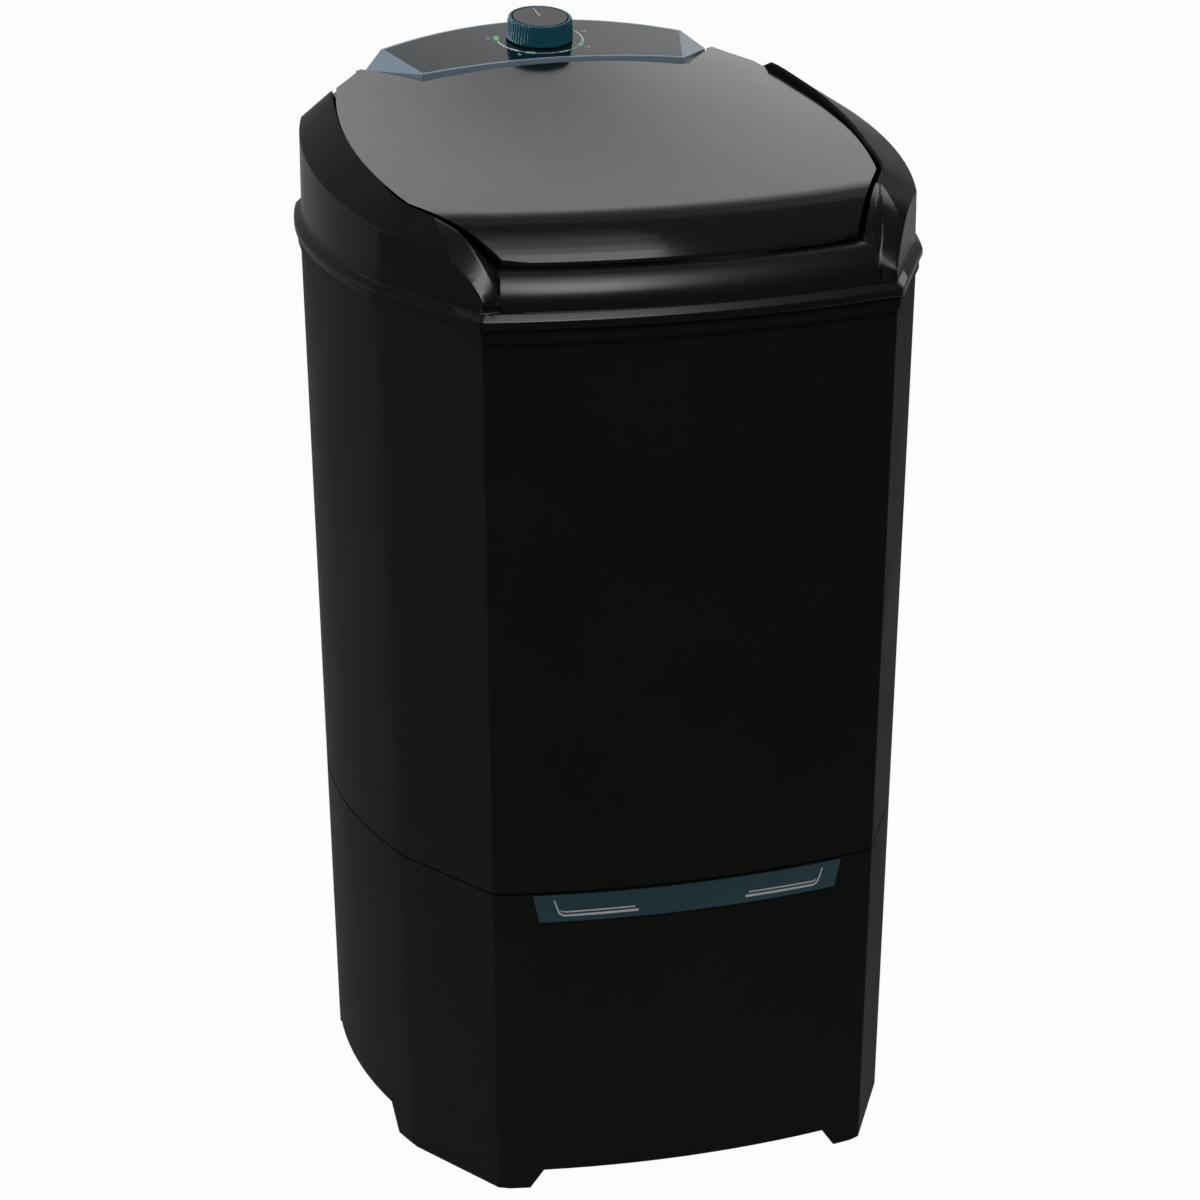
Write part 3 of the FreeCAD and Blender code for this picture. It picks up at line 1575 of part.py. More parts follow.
def make_belt():
    """A V-belt round both pulleys: two arcs joined by their outer tangents."""
    large = mm.pulley_radius - mm.groove_depth / 2
    little = mm.motor_pulley_radius - mm.groove_depth / 2
    lean_angle = math.asin((large - little) / mm.motor_at)
    z = mm.pulley_level

    def on(centre_y, radius, turn_angle):
        return Vector(radius * math.cos(turn_angle), centre_y + radius * math.sin(turn_angle), z)

    def wrap(centre_y, radius, start, middle, end):
        return Part.Arc(*[on(centre_y, radius, angle) for angle in (start, middle, end)]).toShape()

    right = lean_angle
    left = math.pi - lean_angle
    far = mm.motor_at
    path = Part.Wire([
        Part.makeLine(on(0, large, right), on(far, little, right)),
        wrap(far, little, right, math.pi / 2, left),
        Part.makeLine(on(far, little, left), on(0, large, left)),
        wrap(0, large, left, -math.pi / 2, right),
    ])
    start = on(0, large, right)
    out = Vector(math.cos(right), math.sin(right), 0)
    up = Vector(0, 0, 1)
    play = mm.belt_play
    flank = (mm.groove_top - mm.groove_bottom) / 2 / mm.groove_depth
    depth = mm.groove_depth / 2 - play
    top_half = mm.groove_top / 2 - play - flank * play
    low_half = top_half - flank * 2 * depth
    corners = [
        start + out * depth + up * top_half,
        start + out * depth - up * top_half,
        start - out * depth - up * low_half,
        start - out * depth + up * low_half,
    ]
    section = Part.makePolygon(corners + corners[:1])
    belt = path.makePipeShell([section], True, True)
    return keep(solid("drive_belt", belt), "drive_belt")


# Motor, chassis plate and capacitor
def motor_top():
    return chassis_top() - size.chassis_thick - size.grommet_height


EAR_AT = 47
GROMMET_RADIUS = 8
GROMMET_WAIST = 1.5


def ear_places():
    return [(fixed(x * EAR_AT), size.motor_at + y * EAR_AT) for x, y in QUARTERS]


def make_motor():
    top = motor_top()
    body = new_body("motor_housing", 0, size.motor_at, top - size.motor_height)
    radius = size.motor_radius
    high = size.motor_height
    bore = size.motor_shaft_radius + size.shaft_play
    turn(body, "motor_case", [
        (bore, 0),
        (size.motor_shaft_radius + 14, 0),
        (size.motor_shaft_radius + 18, 4),
        (radius - 7, 7),
        (radius, 14),
        (radius, high - 14),
        (radius - 7, high - 7),
        (radius - 20, high - 4),
        (0, high - 4),
        (0, high - 12),
        (bore, high - 12),
    ])
    fin_plan = new_sketch(body, "fin_plan", "XY_Plane", 18)
    outline(fin_plan, box_corners(radius - 2, radius + 2.5, fixed(-1), fixed(1)))
    fin = pad(body, "fin", fin_plan, high - 36)
    ring_of(body, "fins", [fin], 20)
    ears = new_sketch(body, "ear_plan", "XY_Plane", high - 4)
    reach = EAR_AT + 9
    outline(ears, box_corners(fixed(-reach), fixed(reach), fixed(-reach), fixed(reach)))
    pad(body, "ears", ears, 4)
    holes = new_sketch(body, "ear_hole_plan", "XY_Plane", high)
    for x, y in QUARTERS:
        circle(holes, fixed(x * EAR_AT), fixed(y * EAR_AT), size.bolt_radius + 0.2)
    pocket(body, "ear_holes", holes, 6)
    keep(body, "motor_housing")
    shaft_low = size.pulley_level - size.pulley_width / 2 - 4
    shaft = new_body("motor_shaft", 0, size.motor_at, shaft_low)
    shaft_radius = size.motor_shaft_radius
    length = top - 14 - shaft_low
    turn(shaft, "rotor_shaft", [
        (0, 0), (shaft_radius - 1, 0), (shaft_radius, 1), (shaft_radius, length), (0, length)
    ])
    keep(shaft, "motor_shaft")
    grommets = []
    for index, (x, y) in enumerate(ear_places()):
        ring = new_body(f"grommet_{index}", x, y, top)
        inner = size.bolt_radius + 0.2
        high = size.grommet_height
        outer = fixed(GROMMET_RADIUS)
        turn(ring, f"grommet_ring_{index}", [
            (inner, 0), (outer, 0), (outer - GROMMET_WAIST, high / 2), (outer, high), (inner, high)
        ])
        grommets.append(ring)
    group = doc.addObject("Part::Compound", "motor_grommets")
    group.Links = grommets
    keep(group, "motor_grommets")
    low = top - 8
    return bolt_group("motor_bolts", ear_places(), low, chassis_top(), upward=True)


def bolt_group(label, places, start, seat, upward):
    """Bolts along Z: a shank from its free end to the seat, and a hexagon head beyond it."""
    bolts = []
    head_high = size.bolt_radius * 1.2
    for index, (x, y) in enumerate(places):
        body = new_body(f"{label}_{index}", x, y, 0)
        shank = new_sketch(body, f"{label}_shank_plan_{index}", "XY_Plane", start if upward else seat)
        circle(shank, 0, 0, size.bolt_radius)
        pad(body, f"{label}_shank_{index}", shank, seat - start if upward else start - seat)
        head_low = seat if upward else seat - head_high
        head = new_sketch(body, f"{label}_head_plan_{index}", "XY_Plane", head_low)
        outline(head, hexagon_corners(size.bolt_head))
        pad(body, f"{label}_head_{index}", head, head_high)
        bolts.append(body)
    group = doc.addObject("Part::Compound", label)
    group.Links = bolts
    return keep(group, label)


def make_chassis():
    body = new_body("chassis_plate")
    top = chassis_top()
    low = top - size.chassis_thick
    half = size.chassis_half_width
    plate = new_sketch(body, "chassis_plan", "XY_Plane", low)
    outline(plate, box_corners(-half, half, size.chassis_front, size.chassis_back))
    pad(body, "chassis_flat", plate, size.chassis_thick)
    lips = new_sketch(body, "chassis_lip_plan", "XY_Plane", low)
    for start, end in ((-half, -half + size.chassis_thick), (half - size.chassis_thick, half)):
        outline(lips, box_corners(start, end, size.chassis_front, size.chassis_back))
    pad(body, "chassis_lips", lips, size.chassis_lip, Reversed=True)
    holes = new_sketch(body, "chassis_hole_plan", "XY_Plane", low)
    circle(holes, 0, 0, size.bearing_circle - 8)
    clear = size.bolt_radius + 0.2
    spread = size.bearing_circle * math.sqrt(0.5)
    for x, y in QUARTERS:
        circle(holes, x * spread, y * spread, clear)
    for x, y in ear_places():
        circle(holes, x, y, clear)
    for x, y in CHASSIS_BOLTS:
        circle(holes, fixed(x), fixed(y), clear)
    pocket(body, "chassis_holes", holes, 4 * size.chassis_thick, Midplane=True)
    keep(body, "chassis_plate")
    spots = [(x * spread, y * spread) for x, y in QUARTERS]
    bolt_group("bearing_bolts", spots, bearing_seat() - 0.2, low, upward=False)
    ends = [(fixed(x), fixed(y)) for x, y in CHASSIS_BOLTS]
    return bolt_group("chassis_bolts", ends, top + 6, low, upward=False)


def make_capacitor():
    low = chassis_top() - size.chassis_thick - size.capacitor_height - 1
    body = new_body("capacitor", size.capacitor_x, size.capacitor_y, low)
    radius = size.capacitor_radius
    high = size.capacitor_height
    turn(body, "can", [
        (0, 0), (radius - 2, 0), (radius, 2), (radius, high - 1), (radius - 1, high), (0, high)
    ])
    tabs = new_sketch(body, "tab_plan", "XY_Plane", 0)
    for x in (-7, 7):
        outline(tabs, box_corners(fixed(x - 3), fixed(x + 3), fixed(-0.5), fixed(0.5)))
    pad(body, "tabs", tabs, 9, Reversed=True)
    keep(body, "capacitor")
    clip = new_body("capacitor_clip", size.capacitor_x, size.capacitor_y, low)
    inner = radius + 0.2
    outer = inner + 1.5
    turn(clip, "strap", [(inner, high - 20), (outer, high - 20), (outer, high - 8), (inner, high - 8)])
    arm = new_sketch(clip, "arm_plan", "XY_Plane", high - 20)
    outline(arm, box_corners(fixed(-6), fixed(6), outer - 0.7, outer + 1))
    pad(clip, "arm", arm, fixed(21))
    foot = new_sketch(clip, "foot_plan", "XY_Plane", high - 0.5)
    outline(foot, box_corners(fixed(-6), fixed(6), outer - 0.7, outer + 9))
    pad(clip, "foot", foot, fixed(1.5))
    return keep(clip, "capacitor_clip")


# Drain, mains gland and lint filter
def make_drain():
    floor_under = mm.tub_floor - mm.tub_wall
    seat = floor_under - mm.seal_thick
    bend = mm.drain_bend
    x = mm.drain_x
    y = mm.drain_y
    z = mm.drain_height
    lower = Vector(x, y, z + bend)
    along = Vector(x, y + bend, z)
    diagonal = bend * (1 - math.sqrt(0.5))
    shoulder = mm.spigot_reach - mm.spigot_length
    path = Part.Wire([
        Part.makeLine(Vector(x, y, seat), lower),
        Part.Arc(lower, Vector(x, y + diagonal, z + diagonal), along).toShape(),
        Part.makeLine(along, Vector(x, shoulder, z)),
    ])
    bore_radius = mm.drain_radius - mm.drain_wall
    tubes = []
    for radius in (mm.drain_radius, bore_radius):
        ring = Part.Wire(Part.makeCircle(radius, Vector(x, y, seat), Vector(0, 0, -1)))
        tubes.append(path.makePipeShell([ring], True, False))
    flange = Part.makeCylinder(mm.drain_radius + 8, 3, Vector(x, y, seat - 3))
    back = Vector(0, 1, 0)
    plain = mm.spigot_length - mm.spigot_chamfer
    tip_radius = mm.spigot_radius - mm.spigot_chamfer / 2
    neck = Part.makeCylinder(mm.spigot_radius, plain, Vector(x, shoulder, z), back)
    tip = Part.makeCone(mm.spigot_radius, tip_radius, mm.spigot_chamfer, Vector(x, shoulder + plain, z), back)
    bore = Part.makeCylinder(bore_radius, mm.spigot_length, Vector(x, shoulder, z), back)
    outlet = tubes[0].fuse([flange, neck, tip]).cut([tubes[1], bore]).removeSplitter()
    keep(solid("drain_outlet", outlet), "drain_outlet")
    seal_low = size.tub_floor - size.tub_wall - size.seal_thick
    seal = new_body("drain_seal", size.drain_x, size.drain_y, seal_low)
    turn(seal, "drain_ring", box_corners(size.drain_radius, size.drain_radius + 7, 0, size.seal_thick))
    return keep(seal, "drain_seal")


def make_gland():
    inset = float(lean(size.drain_height))
    line = Part.makeLine(Vector(mm.gland_x, 0, 0), Vector(mm.gland_x, mm.body_depth, 0))
    outside = line.distToShape(plan_wire(inset, 0))[1][0][1].y
    body = new_body("cable_gland")
    body.Placement = Placement(Vector(), Rotation(Vector(1, 0, 0), -90))
    place(body, size.gland_x, outside, size.drain_height)
    neck = size.gland_radius
    bore = neck / 2.4
    turn(body, "gland", [
        (bore, -size.wall - 7),
        (neck - 1, -size.wall - 7),
        (neck, -size.wall - 5),
        (neck, 2.4),
        (neck + 4, 2.4),
        (neck + 4, 5),
        (neck + 2, 7),
        (bore, 7),
    ])
    return keep(body, "cable_gland")


def make_filter():
    rim = mm.cabinet_top + mm.collar_height + mm.tub_flange
    skin = size.tub_wall + 0.3
    inside = Part.makeLoft([
        corners_wire(tub_corners(size.tub_floor_inset + skin), mm.tub_floor),
        corners_wire(tub_corners(size.tub_gap + skin), rim),
    ], True, True)
    play = mm.filter_play
    wall = mm.guide_wall
    half = mm.filter_width / 2 + play
    thick = mm.filter_thick + 2 * play
    face = mm.filter_wall_at
    low = mm.filter_foot
    high = mm.filter_height * 0.8
    block_at = Vector(face - thick - wall, -half - wall, low - wall)
    block = Part.makeBox(60, 2 * half + 2 * wall, high + wall, block_at)
    channel = Part.makeBox(thick, 2 * half, high + 1, Vector(face - thick, -half, low))
    mouth_at = Vector(face - thick - wall - 0.5, -half + 8, low + 8)
    mouth = Part.makeBox(wall + 1, 2 * half - 16, high + 1, mouth_at)
    flow = Part.makeBox(80, 2 * half - 24, high - 24, Vector(face - 1, -half + 12, low + 12))
    guide = block.common(inside).cut(channel).cut(mouth).cut(flow)
    keep(solid("filter_guide", guide), "filter_guide")
    filter_x = size.filter_wall_at - size.filter_play - size.filter_thick
    body = new_body("lint_filter", filter_x, 0, size.filter_foot + size.filter_play)
    side = size.filter_width / 2
    frame = new_sketch(body, "filter_frame_plan", "YZ_Plane")
    outline(frame, [(-side, 0), (side, 0), (side, size.filter_height, 8), (-side, size.filter_height)])
    pad(body, "filter_frame", frame, size.filter_thick)
    pan = new_sketch(body, "filter_pan_plan", "YZ_Plane", 2)
    outline(pan, box_corners(-side + 5, side - 5, fixed(5), size.filter_height - 22))
    pocket(body, "filter_pan", pan, size.filter_thick, Reversed=True)
    slit = new_sketch(body, "slit_plan", "YZ_Plane", 0)
    outline(slit, box_corners(-side + 9, -side + 11.5, fixed(9), size.filter_height - 26))
    cut = pocket(body, "slit", slit, size.filter_thick, Midplane=True)
    row = body.newObject("PartDesign::LinearPattern", "slits")
    row.Originals = [cut]
    row.Direction = (origin_plane(body, "Y_Axis"), [""])
    bind(row, "Length", size.filter_width - 20.5)
    row.Occurrences = 14
    body.Tip = row
    return keep(body, "lint_filter")


def corners_wire(corners, height):
    edges = []
    for index, corner in enumerate(corners):
        edges.append(side_edge(corner, corners[(index + 1) % len(corners)], height))
    return Part.Wire(edges)


def make_screws():
    screws = []
    low = size.cover_height - size.cover_thick
    for index, (x, y) in enumerate(cover_screw_places()):
        head = cylinder(f"cover_head_{index}", size.screw_head, 1.6, x, y, low - 1.6)
        shank = cylinder(f"cover_shank_{index}", size.screw_radius, 9, x, y, low)
        screws.append(fuse_all(f"cover_screw_{index}", [head, shank]))
    group = doc.addObject("Part::Compound", "cover_screws")
    group.Links = screws
    return keep(group, "cover_screws")


BUILDERS = (
    make_base, make_foot_pads, make_bottom_cover, make_cabinet, make_trim, make_top_frame, make_lid,
    make_hinge_pins, make_console, make_timer, make_knob, make_tub, make_rim_seal, make_pulsator,
    make_drive_shaft, make_bearing, make_pulleys, make_belt, make_motor, make_chassis, make_capacitor,
    make_drain, make_gland, make_filter, make_screws,
)
for build in BUILDERS:
    build()


# Check and write
doc.recompute()
faults = [item.Name for item in doc.Objects if {"Invalid", "Error"} & set(item.State)]
faults += [node.Label for node in NODES if node.Shape.isNull() or not node.Shape.isValid()]
if faults:
    raise RuntimeError(f"failed objects: {faults}")
os.makedirs("parts", exist_ok=True)
for node in NODES:
    node.Shape.exportStep(f"parts/{node.Label}.step")
    print(node.Label, len(node.Shape.Solids), round(node.Shape.Volume))
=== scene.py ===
import json
import math

import bmesh
import bpy
from bpy.props import FloatProperty, FloatVectorProperty, PointerProperty
from mathutils import Matrix, Vector
from mathutils.bvhtree import BVHTree

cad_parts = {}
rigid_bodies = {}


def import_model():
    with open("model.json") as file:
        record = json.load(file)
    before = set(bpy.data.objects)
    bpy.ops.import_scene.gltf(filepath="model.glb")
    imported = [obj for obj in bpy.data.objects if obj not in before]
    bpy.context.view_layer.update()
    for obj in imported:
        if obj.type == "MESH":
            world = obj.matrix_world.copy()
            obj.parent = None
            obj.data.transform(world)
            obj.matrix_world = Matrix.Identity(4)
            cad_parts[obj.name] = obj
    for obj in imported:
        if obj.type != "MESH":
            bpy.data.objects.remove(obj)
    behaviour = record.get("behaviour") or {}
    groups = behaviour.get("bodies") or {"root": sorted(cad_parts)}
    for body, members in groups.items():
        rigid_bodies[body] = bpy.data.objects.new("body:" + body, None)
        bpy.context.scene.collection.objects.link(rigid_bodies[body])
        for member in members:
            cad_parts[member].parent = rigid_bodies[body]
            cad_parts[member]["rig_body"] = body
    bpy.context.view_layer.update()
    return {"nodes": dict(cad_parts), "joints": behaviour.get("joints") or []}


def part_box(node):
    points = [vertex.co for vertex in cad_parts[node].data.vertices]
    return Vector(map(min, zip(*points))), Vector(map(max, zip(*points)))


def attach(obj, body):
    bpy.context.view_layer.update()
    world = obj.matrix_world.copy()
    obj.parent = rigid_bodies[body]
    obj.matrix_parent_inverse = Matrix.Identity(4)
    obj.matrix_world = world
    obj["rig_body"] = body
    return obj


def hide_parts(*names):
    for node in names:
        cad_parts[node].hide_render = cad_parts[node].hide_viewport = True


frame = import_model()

bl_info = {
    "name": "Semi-automatic washing machine",
    "version": (1, 0, 0),
    "blender": (4, 5, 0),
    "location": "View3D > Sidebar > Washer",
    "description": "Dresses the packed washing machine: mouldings, lid, console, dial, tub and drive",
    "category": "Object",
}

MM = 0.001
ACROSS = Vector((1, 0, 0))
UP = Vector((0, 0, 1))


# Settings
class WasherPlastics(bpy.types.PropertyGroup):
    """Colours and edge softness of the mouldings"""

    body: FloatVectorProperty(
        name="Body", description="Satin plastic of the cabinet and base", subtype="COLOR",
        default=(0.0180, 0.0203, 0.0169), min=0, max=1,
    )
    # The top frame's colour is partly the plastic's own dark tone and partly painted sheen: it is set lighter than
    # the front band's colour, of the same plastic, to stand in for the reflections on the rails.
    frame: FloatVectorProperty(
        name="Top frame", description="Semi-gloss plastic of the top frame", subtype="COLOR",
        default=(0.0120, 0.0140, 0.0144), min=0, max=1,
    )
    band: FloatVectorProperty(
        name="Front band", description="Polished plastic of the top frame's front", subtype="COLOR",
        default=(0.0035, 0.0042, 0.0042), min=0, max=1,
    )
    lid: FloatVectorProperty(
        name="Lid", description="Gloss plastic of the lid", subtype="COLOR",
        default=(0.0045, 0.0050, 0.0052), min=0, max=1,
    )
    face: FloatVectorProperty(
        name="Console face", description="Glossy film on the console", subtype="COLOR",
        default=(0.006, 0.018, 0.026), min=0, max=1,
    )
    console: FloatVectorProperty(
        name="Console", description="Blue-grey paint of the console housing", subtype="COLOR",
        default=(0.315, 0.405, 0.50), min=0, max=1,
    )
    tub: FloatVectorProperty(
        name="Tub", description="Plastic of the wash tub", subtype="COLOR",
        default=(0.60, 0.62, 0.64), min=0, max=1,
    )
    edge: FloatProperty(
        name="Edge softness", description="Rounding of moulded edges", unit="LENGTH",
        default=0.0007, min=0.0001, max=0.003,
    )


class WasherAccents(bpy.types.PropertyGroup):
    """Colours of the dial, the strip and the printed marks"""

    knob: FloatVectorProperty(
        name="Knob", description="Fluted skirt of the timer knob", subtype="COLOR",
        default=(0.0095, 0.128, 0.182), min=0, max=1,
    )
    cap: FloatVectorProperty(
        name="Knob cap", description="Disc on top of the knob", subtype="COLOR",
        default=(0.030, 0.032, 0.034), min=0, max=1,
    )
    strip: FloatVectorProperty(
        name="Strip", description="Plate on the front seam", subtype="COLOR",
        default=(0.046, 0.104, 0.126), min=0, max=1,
    )
    silver: FloatVectorProperty(
        name="Bright print", description="Silver lines and marks", subtype="COLOR",
        default=(0.80, 0.82, 0.84), min=0, max=1,
    )
    green: FloatVectorProperty(
        name="Green print", description="Green marks round the dial", subtype="COLOR",
        default=(0.30, 0.72, 0.38), min=0, max=1,
    )


class WasherStage(bpy.types.PropertyGroup):
    """Floor, backdrop, light and camera"""

    floor: FloatVectorProperty(
        name="Floor", description="Pale studio floor", subtype="COLOR", default=(0.90, 0.90, 0.90), min=0, max=1,
    )
    ambient: FloatProperty(
        name="Ambient", description="Strength of the dim studio round the object", default=0.07, min=0, max=2,
    )
    key: FloatProperty(
        name="Key light", description="Power of the wide light above the front", unit="POWER",
        default=33.0, min=0, max=400,
    )
    side: FloatProperty(
        name="Side light", description="Power of the light on the left", unit="POWER",
        default=44.0, min=0, max=200,
    )
    focal: FloatProperty(
        name="Focal length", description="Lens of the camera in millimetres", unit="CAMERA",
        default=119.65, min=20, max=300,
    )


class WasherSettings(bpy.types.PropertyGroup):
    """All settings of the washing machine"""

    plastics: PointerProperty(type=WasherPlastics, name="Plastics", description="The mouldings' colours")
    accents: PointerProperty(type=WasherAccents, name="Accents", description="Colours of the dial and the print")
    stage: PointerProperty(type=WasherStage, name="Stage", description="Floor, light and camera")


def settings():
    return bpy.context.scene.washer


# Materials
PATCH_SCALE = 9.0
PATCH_DETAIL = 3.0
# Most of a noise lies between these two values
NOISE_LOW = 0.3
NOISE_HIGH = 0.7
GLOSS_CHANGE = 0.08
GRAIN_STRENGTH = 0.5
COAT_SHARE = 0.5
PLASTIC_IOR = 1.5

PULSATOR_COLOUR = (0.26, 0.34, 0.43)
RUBBER_COLOUR = (0.018, 0.018, 0.018)
PALE_COLOUR = (0.66, 0.66, 0.63)
STEEL_COLOUR = (0.56, 0.56, 0.55)
ALLOY_COLOUR = (0.58, 0.59, 0.60)
BRONZE_COLOUR = (0.52, 0.36, 0.17)
COATING_COLOUR = (0.060, 0.066, 0.072)


def new_material(name):
    """A material and its node tree, or None for the tree if the material is already made."""
    material = bpy.data.materials.get(name)
    if material:
        return material, None
    material = bpy.data.materials.new(name)
    material.use_nodes = True
    return material, material.node_tree


def add_node(tree, kind, **values):
    """Add a node, and set its own properties and its sockets by name."""
    node = tree.nodes.new(kind)
    for key, value in values.items():
        if hasattr(node, key):
            setattr(node, key, value)
        else:
            node.inputs[key].default_value = value
    return node


def object_coords(tree):
    return add_node(tree, "ShaderNodeTexCoord").outputs["Object"]


def noise(tree, coords, scale, detail=2.0):
    node = add_node(tree, "ShaderNodeTexNoise", Scale=scale, Detail=detail)
    tree.links.new(coords, node.inputs["Vector"])
    return node.outputs["Fac"]


def map_range(node, start, end, low, high):
    """Set what a Map Range node reads and what it gives."""
    for name, value in (("From Min", start), ("From Max", end), ("To Min", low), ("To Max", high)):
        node.inputs[name].default_value = value


def spread(tree, factor, low, high):
    """Map the usual range of a noise onto a range of values."""
    node = add_node(tree, "ShaderNodeMapRange")
    map_range(node, NOISE_LOW, NOISE_HIGH, low, high)
    tree.links.new(factor, node.inputs["Value"])
    return node.outputs["Result"]


def tint(tree, factor, colour, change):
    """Vary a colour slightly with a factor."""
    node = add_node(tree, "ShaderNodeMix", data_type="RGBA")
    dark = tuple(channel * (1 - change) for channel in colour)
    light = tuple(min(1, channel * (1 + change)) for channel in colour)
    for socket in node.inputs:
        if socket.type == "RGBA":
            socket.default_value = (*dark, 1) if socket.identifier.startswith("A") else (*light, 1)
    tree.links.new(factor, node.inputs["Factor"])
    return next(socket for socket in node.outputs if socket.type == "RGBA")


def moulded(name, colour, rough, specular, grain=2500, relief=0.00002, coat=0.0, change=0.12, metal=0.0):
    """Moulded plastic or metal: a fine grain in the surface, slight patches in the gloss and colour."""
    material, tree = new_material(name)
    if tree is None:
        return material
    shader = tree.nodes["Principled BSDF"]
    coords = object_coords(tree)
    patches = noise(tree, coords, PATCH_SCALE, PATCH_DETAIL)
    shader.inputs["Specular IOR Level"].default_value = specular
    shader.inputs["IOR"].default_value = PLASTIC_IOR
    shader.inputs["Metallic"].default_value = metal
    shader.inputs["Coat Weight"].default_value = coat
    shader.inputs["Coat Roughness"].default_value = rough * COAT_SHARE
    gloss = spread(tree, patches, rough * (1 - GLOSS_CHANGE), rough * (1 + GLOSS_CHANGE))
    tree.links.new(tint(tree, patches, colour, change), shader.inputs["Base Color"])
    tree.links.new(gloss, shader.inputs["Roughness"])
    bump = add_node(tree, "ShaderNodeBump", Strength=GRAIN_STRENGTH, Distance=relief)
    tree.links.new(noise(tree, coords, grain), bump.inputs["Height"])
    tree.links.new(bump.outputs["Normal"], shader.inputs["Normal"])
    return material


def body_plastic():
    colour = settings().plastics.body
    return moulded("body_satin", colour, rough=0.60, specular=0.008, grain=1400, relief=0.00006)


def frame_plastic_painted_sheen():
    # Painted sheen: this colour is lifted above the plastic's own tone to stand in for the rails' reflections.
    colour = settings().plastics.frame
    return moulded("frame_semi_gloss_painted_sheen", colour, rough=0.35, specular=0.010, grain=2200, relief=0.00001)


def band_plastic():
    colour = settings().plastics.band
    return moulded("band_gloss", colour, rough=0.30, specular=0.58, grain=2200, relief=0.00001)


def lid_plastic():
    colour = settings().plastics.lid
    return moulded("lid_gloss", colour, rough=0.13, specular=0.68, grain=1800, relief=0.00001, coat=0.1)


def face_film():
    colour = settings().plastics.face
    return moulded("console_film", colour, rough=0.12, specular=0.33, grain=2600, relief=0.000006)


def console_paint():
    colour = settings().plastics.console
    return moulded("console_paint", colour, rough=0.30, specular=0.5, grain=2600, relief=0.00001)


def tub_plastic():
    return moulded("tub_plastic", settings().plastics.tub, rough=0.38, specular=0.4, change=0.03)


def pulsator_plastic():
    return moulded("pulsator_plastic", PULSATOR_COLOUR, rough=0.35, specular=0.45, change=0.04)


def rubber():
    return moulded("black_rubber", RUBBER_COLOUR, rough=0.75, specular=0.25, grain=900, relief=0.00008)


def pale_plastic():
    return moulded("pale_plastic", PALE_COLOUR, rough=0.42, specular=0.4, change=0.03)


def turned_steel():
    return moulded("turned_steel", STEEL_COLOUR, rough=0.30, specular=0.5, grain=3000, change=0.05, metal=1.0)


def cast_alloy():
    return moulded(
        "cast_alloy", ALLOY_COLOUR, rough=0.45, specular=0.5, grain=600, relief=0.00012, change=0.06, metal=1.0
    )


def bronze():
    return moulded("sintered_bronze", BRONZE_COLOUR, rough=0.42, specular=0.5, grain=1500, change=0.08, metal=1.0)


def coated_steel():
    return moulded("coated_steel", COATING_COLOUR, rough=0.40, specular=0.4, grain=1200, relief=0.00005)


def knob_plastic():
    return moulded("knob_petrol", settings().accents.knob, rough=0.26, specular=0.5)


def cap_plastic():
    return moulded("cap_satin", settings().accents.cap, rough=0.30, specular=0.5)


def strip_plastic():
    return moulded("strip_petrol", settings().accents.strip, rough=0.30, specular=0.12)


def silver_print():
    return moulded("silver_print", settings().accents.silver, rough=0.30, specular=0.5, change=0.04)


def green_print():
    return moulded("green_print", settings().accents.green, rough=0.40, specular=0.4, change=0.04)


# Pieces, in metres and degrees
MERGE = 0.00001
FLAT_ANGLE = 0.4
EDGE_SEGMENTS = 2
# Rounding of the edges of pieces that don't follow the setting
SHARP = 0
FILM_EDGE = 0.0002
FINE_EDGE = 0.0003
CONSOLE_EDGE = 0.0005
LID_EDGE = 0.0006
FRAME_EDGE = 0.0009
# Shorter edges of the top frame stay sharp
FRAME_SHORTEST = 0.0015


def link_mesh(name, mesh, material):
    """Make a bmesh into an object of the scene."""
    data = bpy.data.meshes.new(name)
    mesh.to_mesh(data)
    mesh.free()
    data.materials.append(material)
    piece = bpy.data.objects.new(name, data)
    bpy.context.scene.collection.objects.link(piece)
    return piece


def finish_piece(name, mesh, material, body):
    """Make a bmesh into a piece that rides on its body."""
    piece = link_mesh(name, mesh, material)
    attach(piece, body)
    return piece


def body_of(node):
    return frame["nodes"][node]["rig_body"]


def dress(node, material, edge=None, crease=30, smooth_crease=38, shape=None, shortest=0):
    """A merged copy of a solid with softened edges, which stands in for it. A shape function reworks it first."""
    mesh = bmesh.new()
    mesh.from_mesh(frame["nodes"][node].data)
    bmesh.ops.remove_doubles(mesh, verts=mesh.verts, dist=MERGE)
    if shape:
        shape(mesh)
    else:
        bmesh.ops.dissolve_limit(mesh, angle_limit=math.radians(FLAT_ANGLE), verts=mesh.verts, edges=mesh.edges)
    edge = settings().plastics.edge if edge is None else edge
    if edge:
        sharp = [
            side for side in mesh.edges
            if side.is_manifold and side.calc_face_angle(0) > math.radians(crease) and side.calc_length() >= shortest
        ]
        if shortest:
            sharp = [side for side in sharp if all(vert.is_manifold for vert in side.verts)]
        bmesh.ops.bevel(
            mesh, geom=sharp, offset=edge, offset_type="OFFSET", segments=EDGE_SEGMENTS, profile=0.5,
            affect="EDGES", clamp_overlap=not shortest, material=-1,
        )
    for face in mesh.faces:
        face.smooth = True
    for side in mesh.edges:
        side.smooth = side.calc_face_angle(0) < math.radians(smooth_crease)
    piece = finish_piece(f"{node}_piece", mesh, material, body_of(node))
    evened = piece.modifiers.new("even_shading", "WEIGHTED_NORMAL")
    evened.keep_sharp = True
    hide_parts(node)
    return piece


# Printed marks, in millimetres on the surface they lie on and in degrees round the dial
# Points of each line and the widths there, for one half of the strip
STRIP_LINES = (
    (((-109, 18.5), (-105.8, 9.4), (-104.6, 7), (-101.4, 5.2), (-43.3, 5.6)), (1.1, 1.3, 1.5, 1.8, 2.2)),
    (((-104, 9.8), (-102.6, 8.7), (-100, 8.3), (-46.2, 8.8)), (0.8, 1, 1.3, 1.3)),
)
RING_RADIUS = 35.5
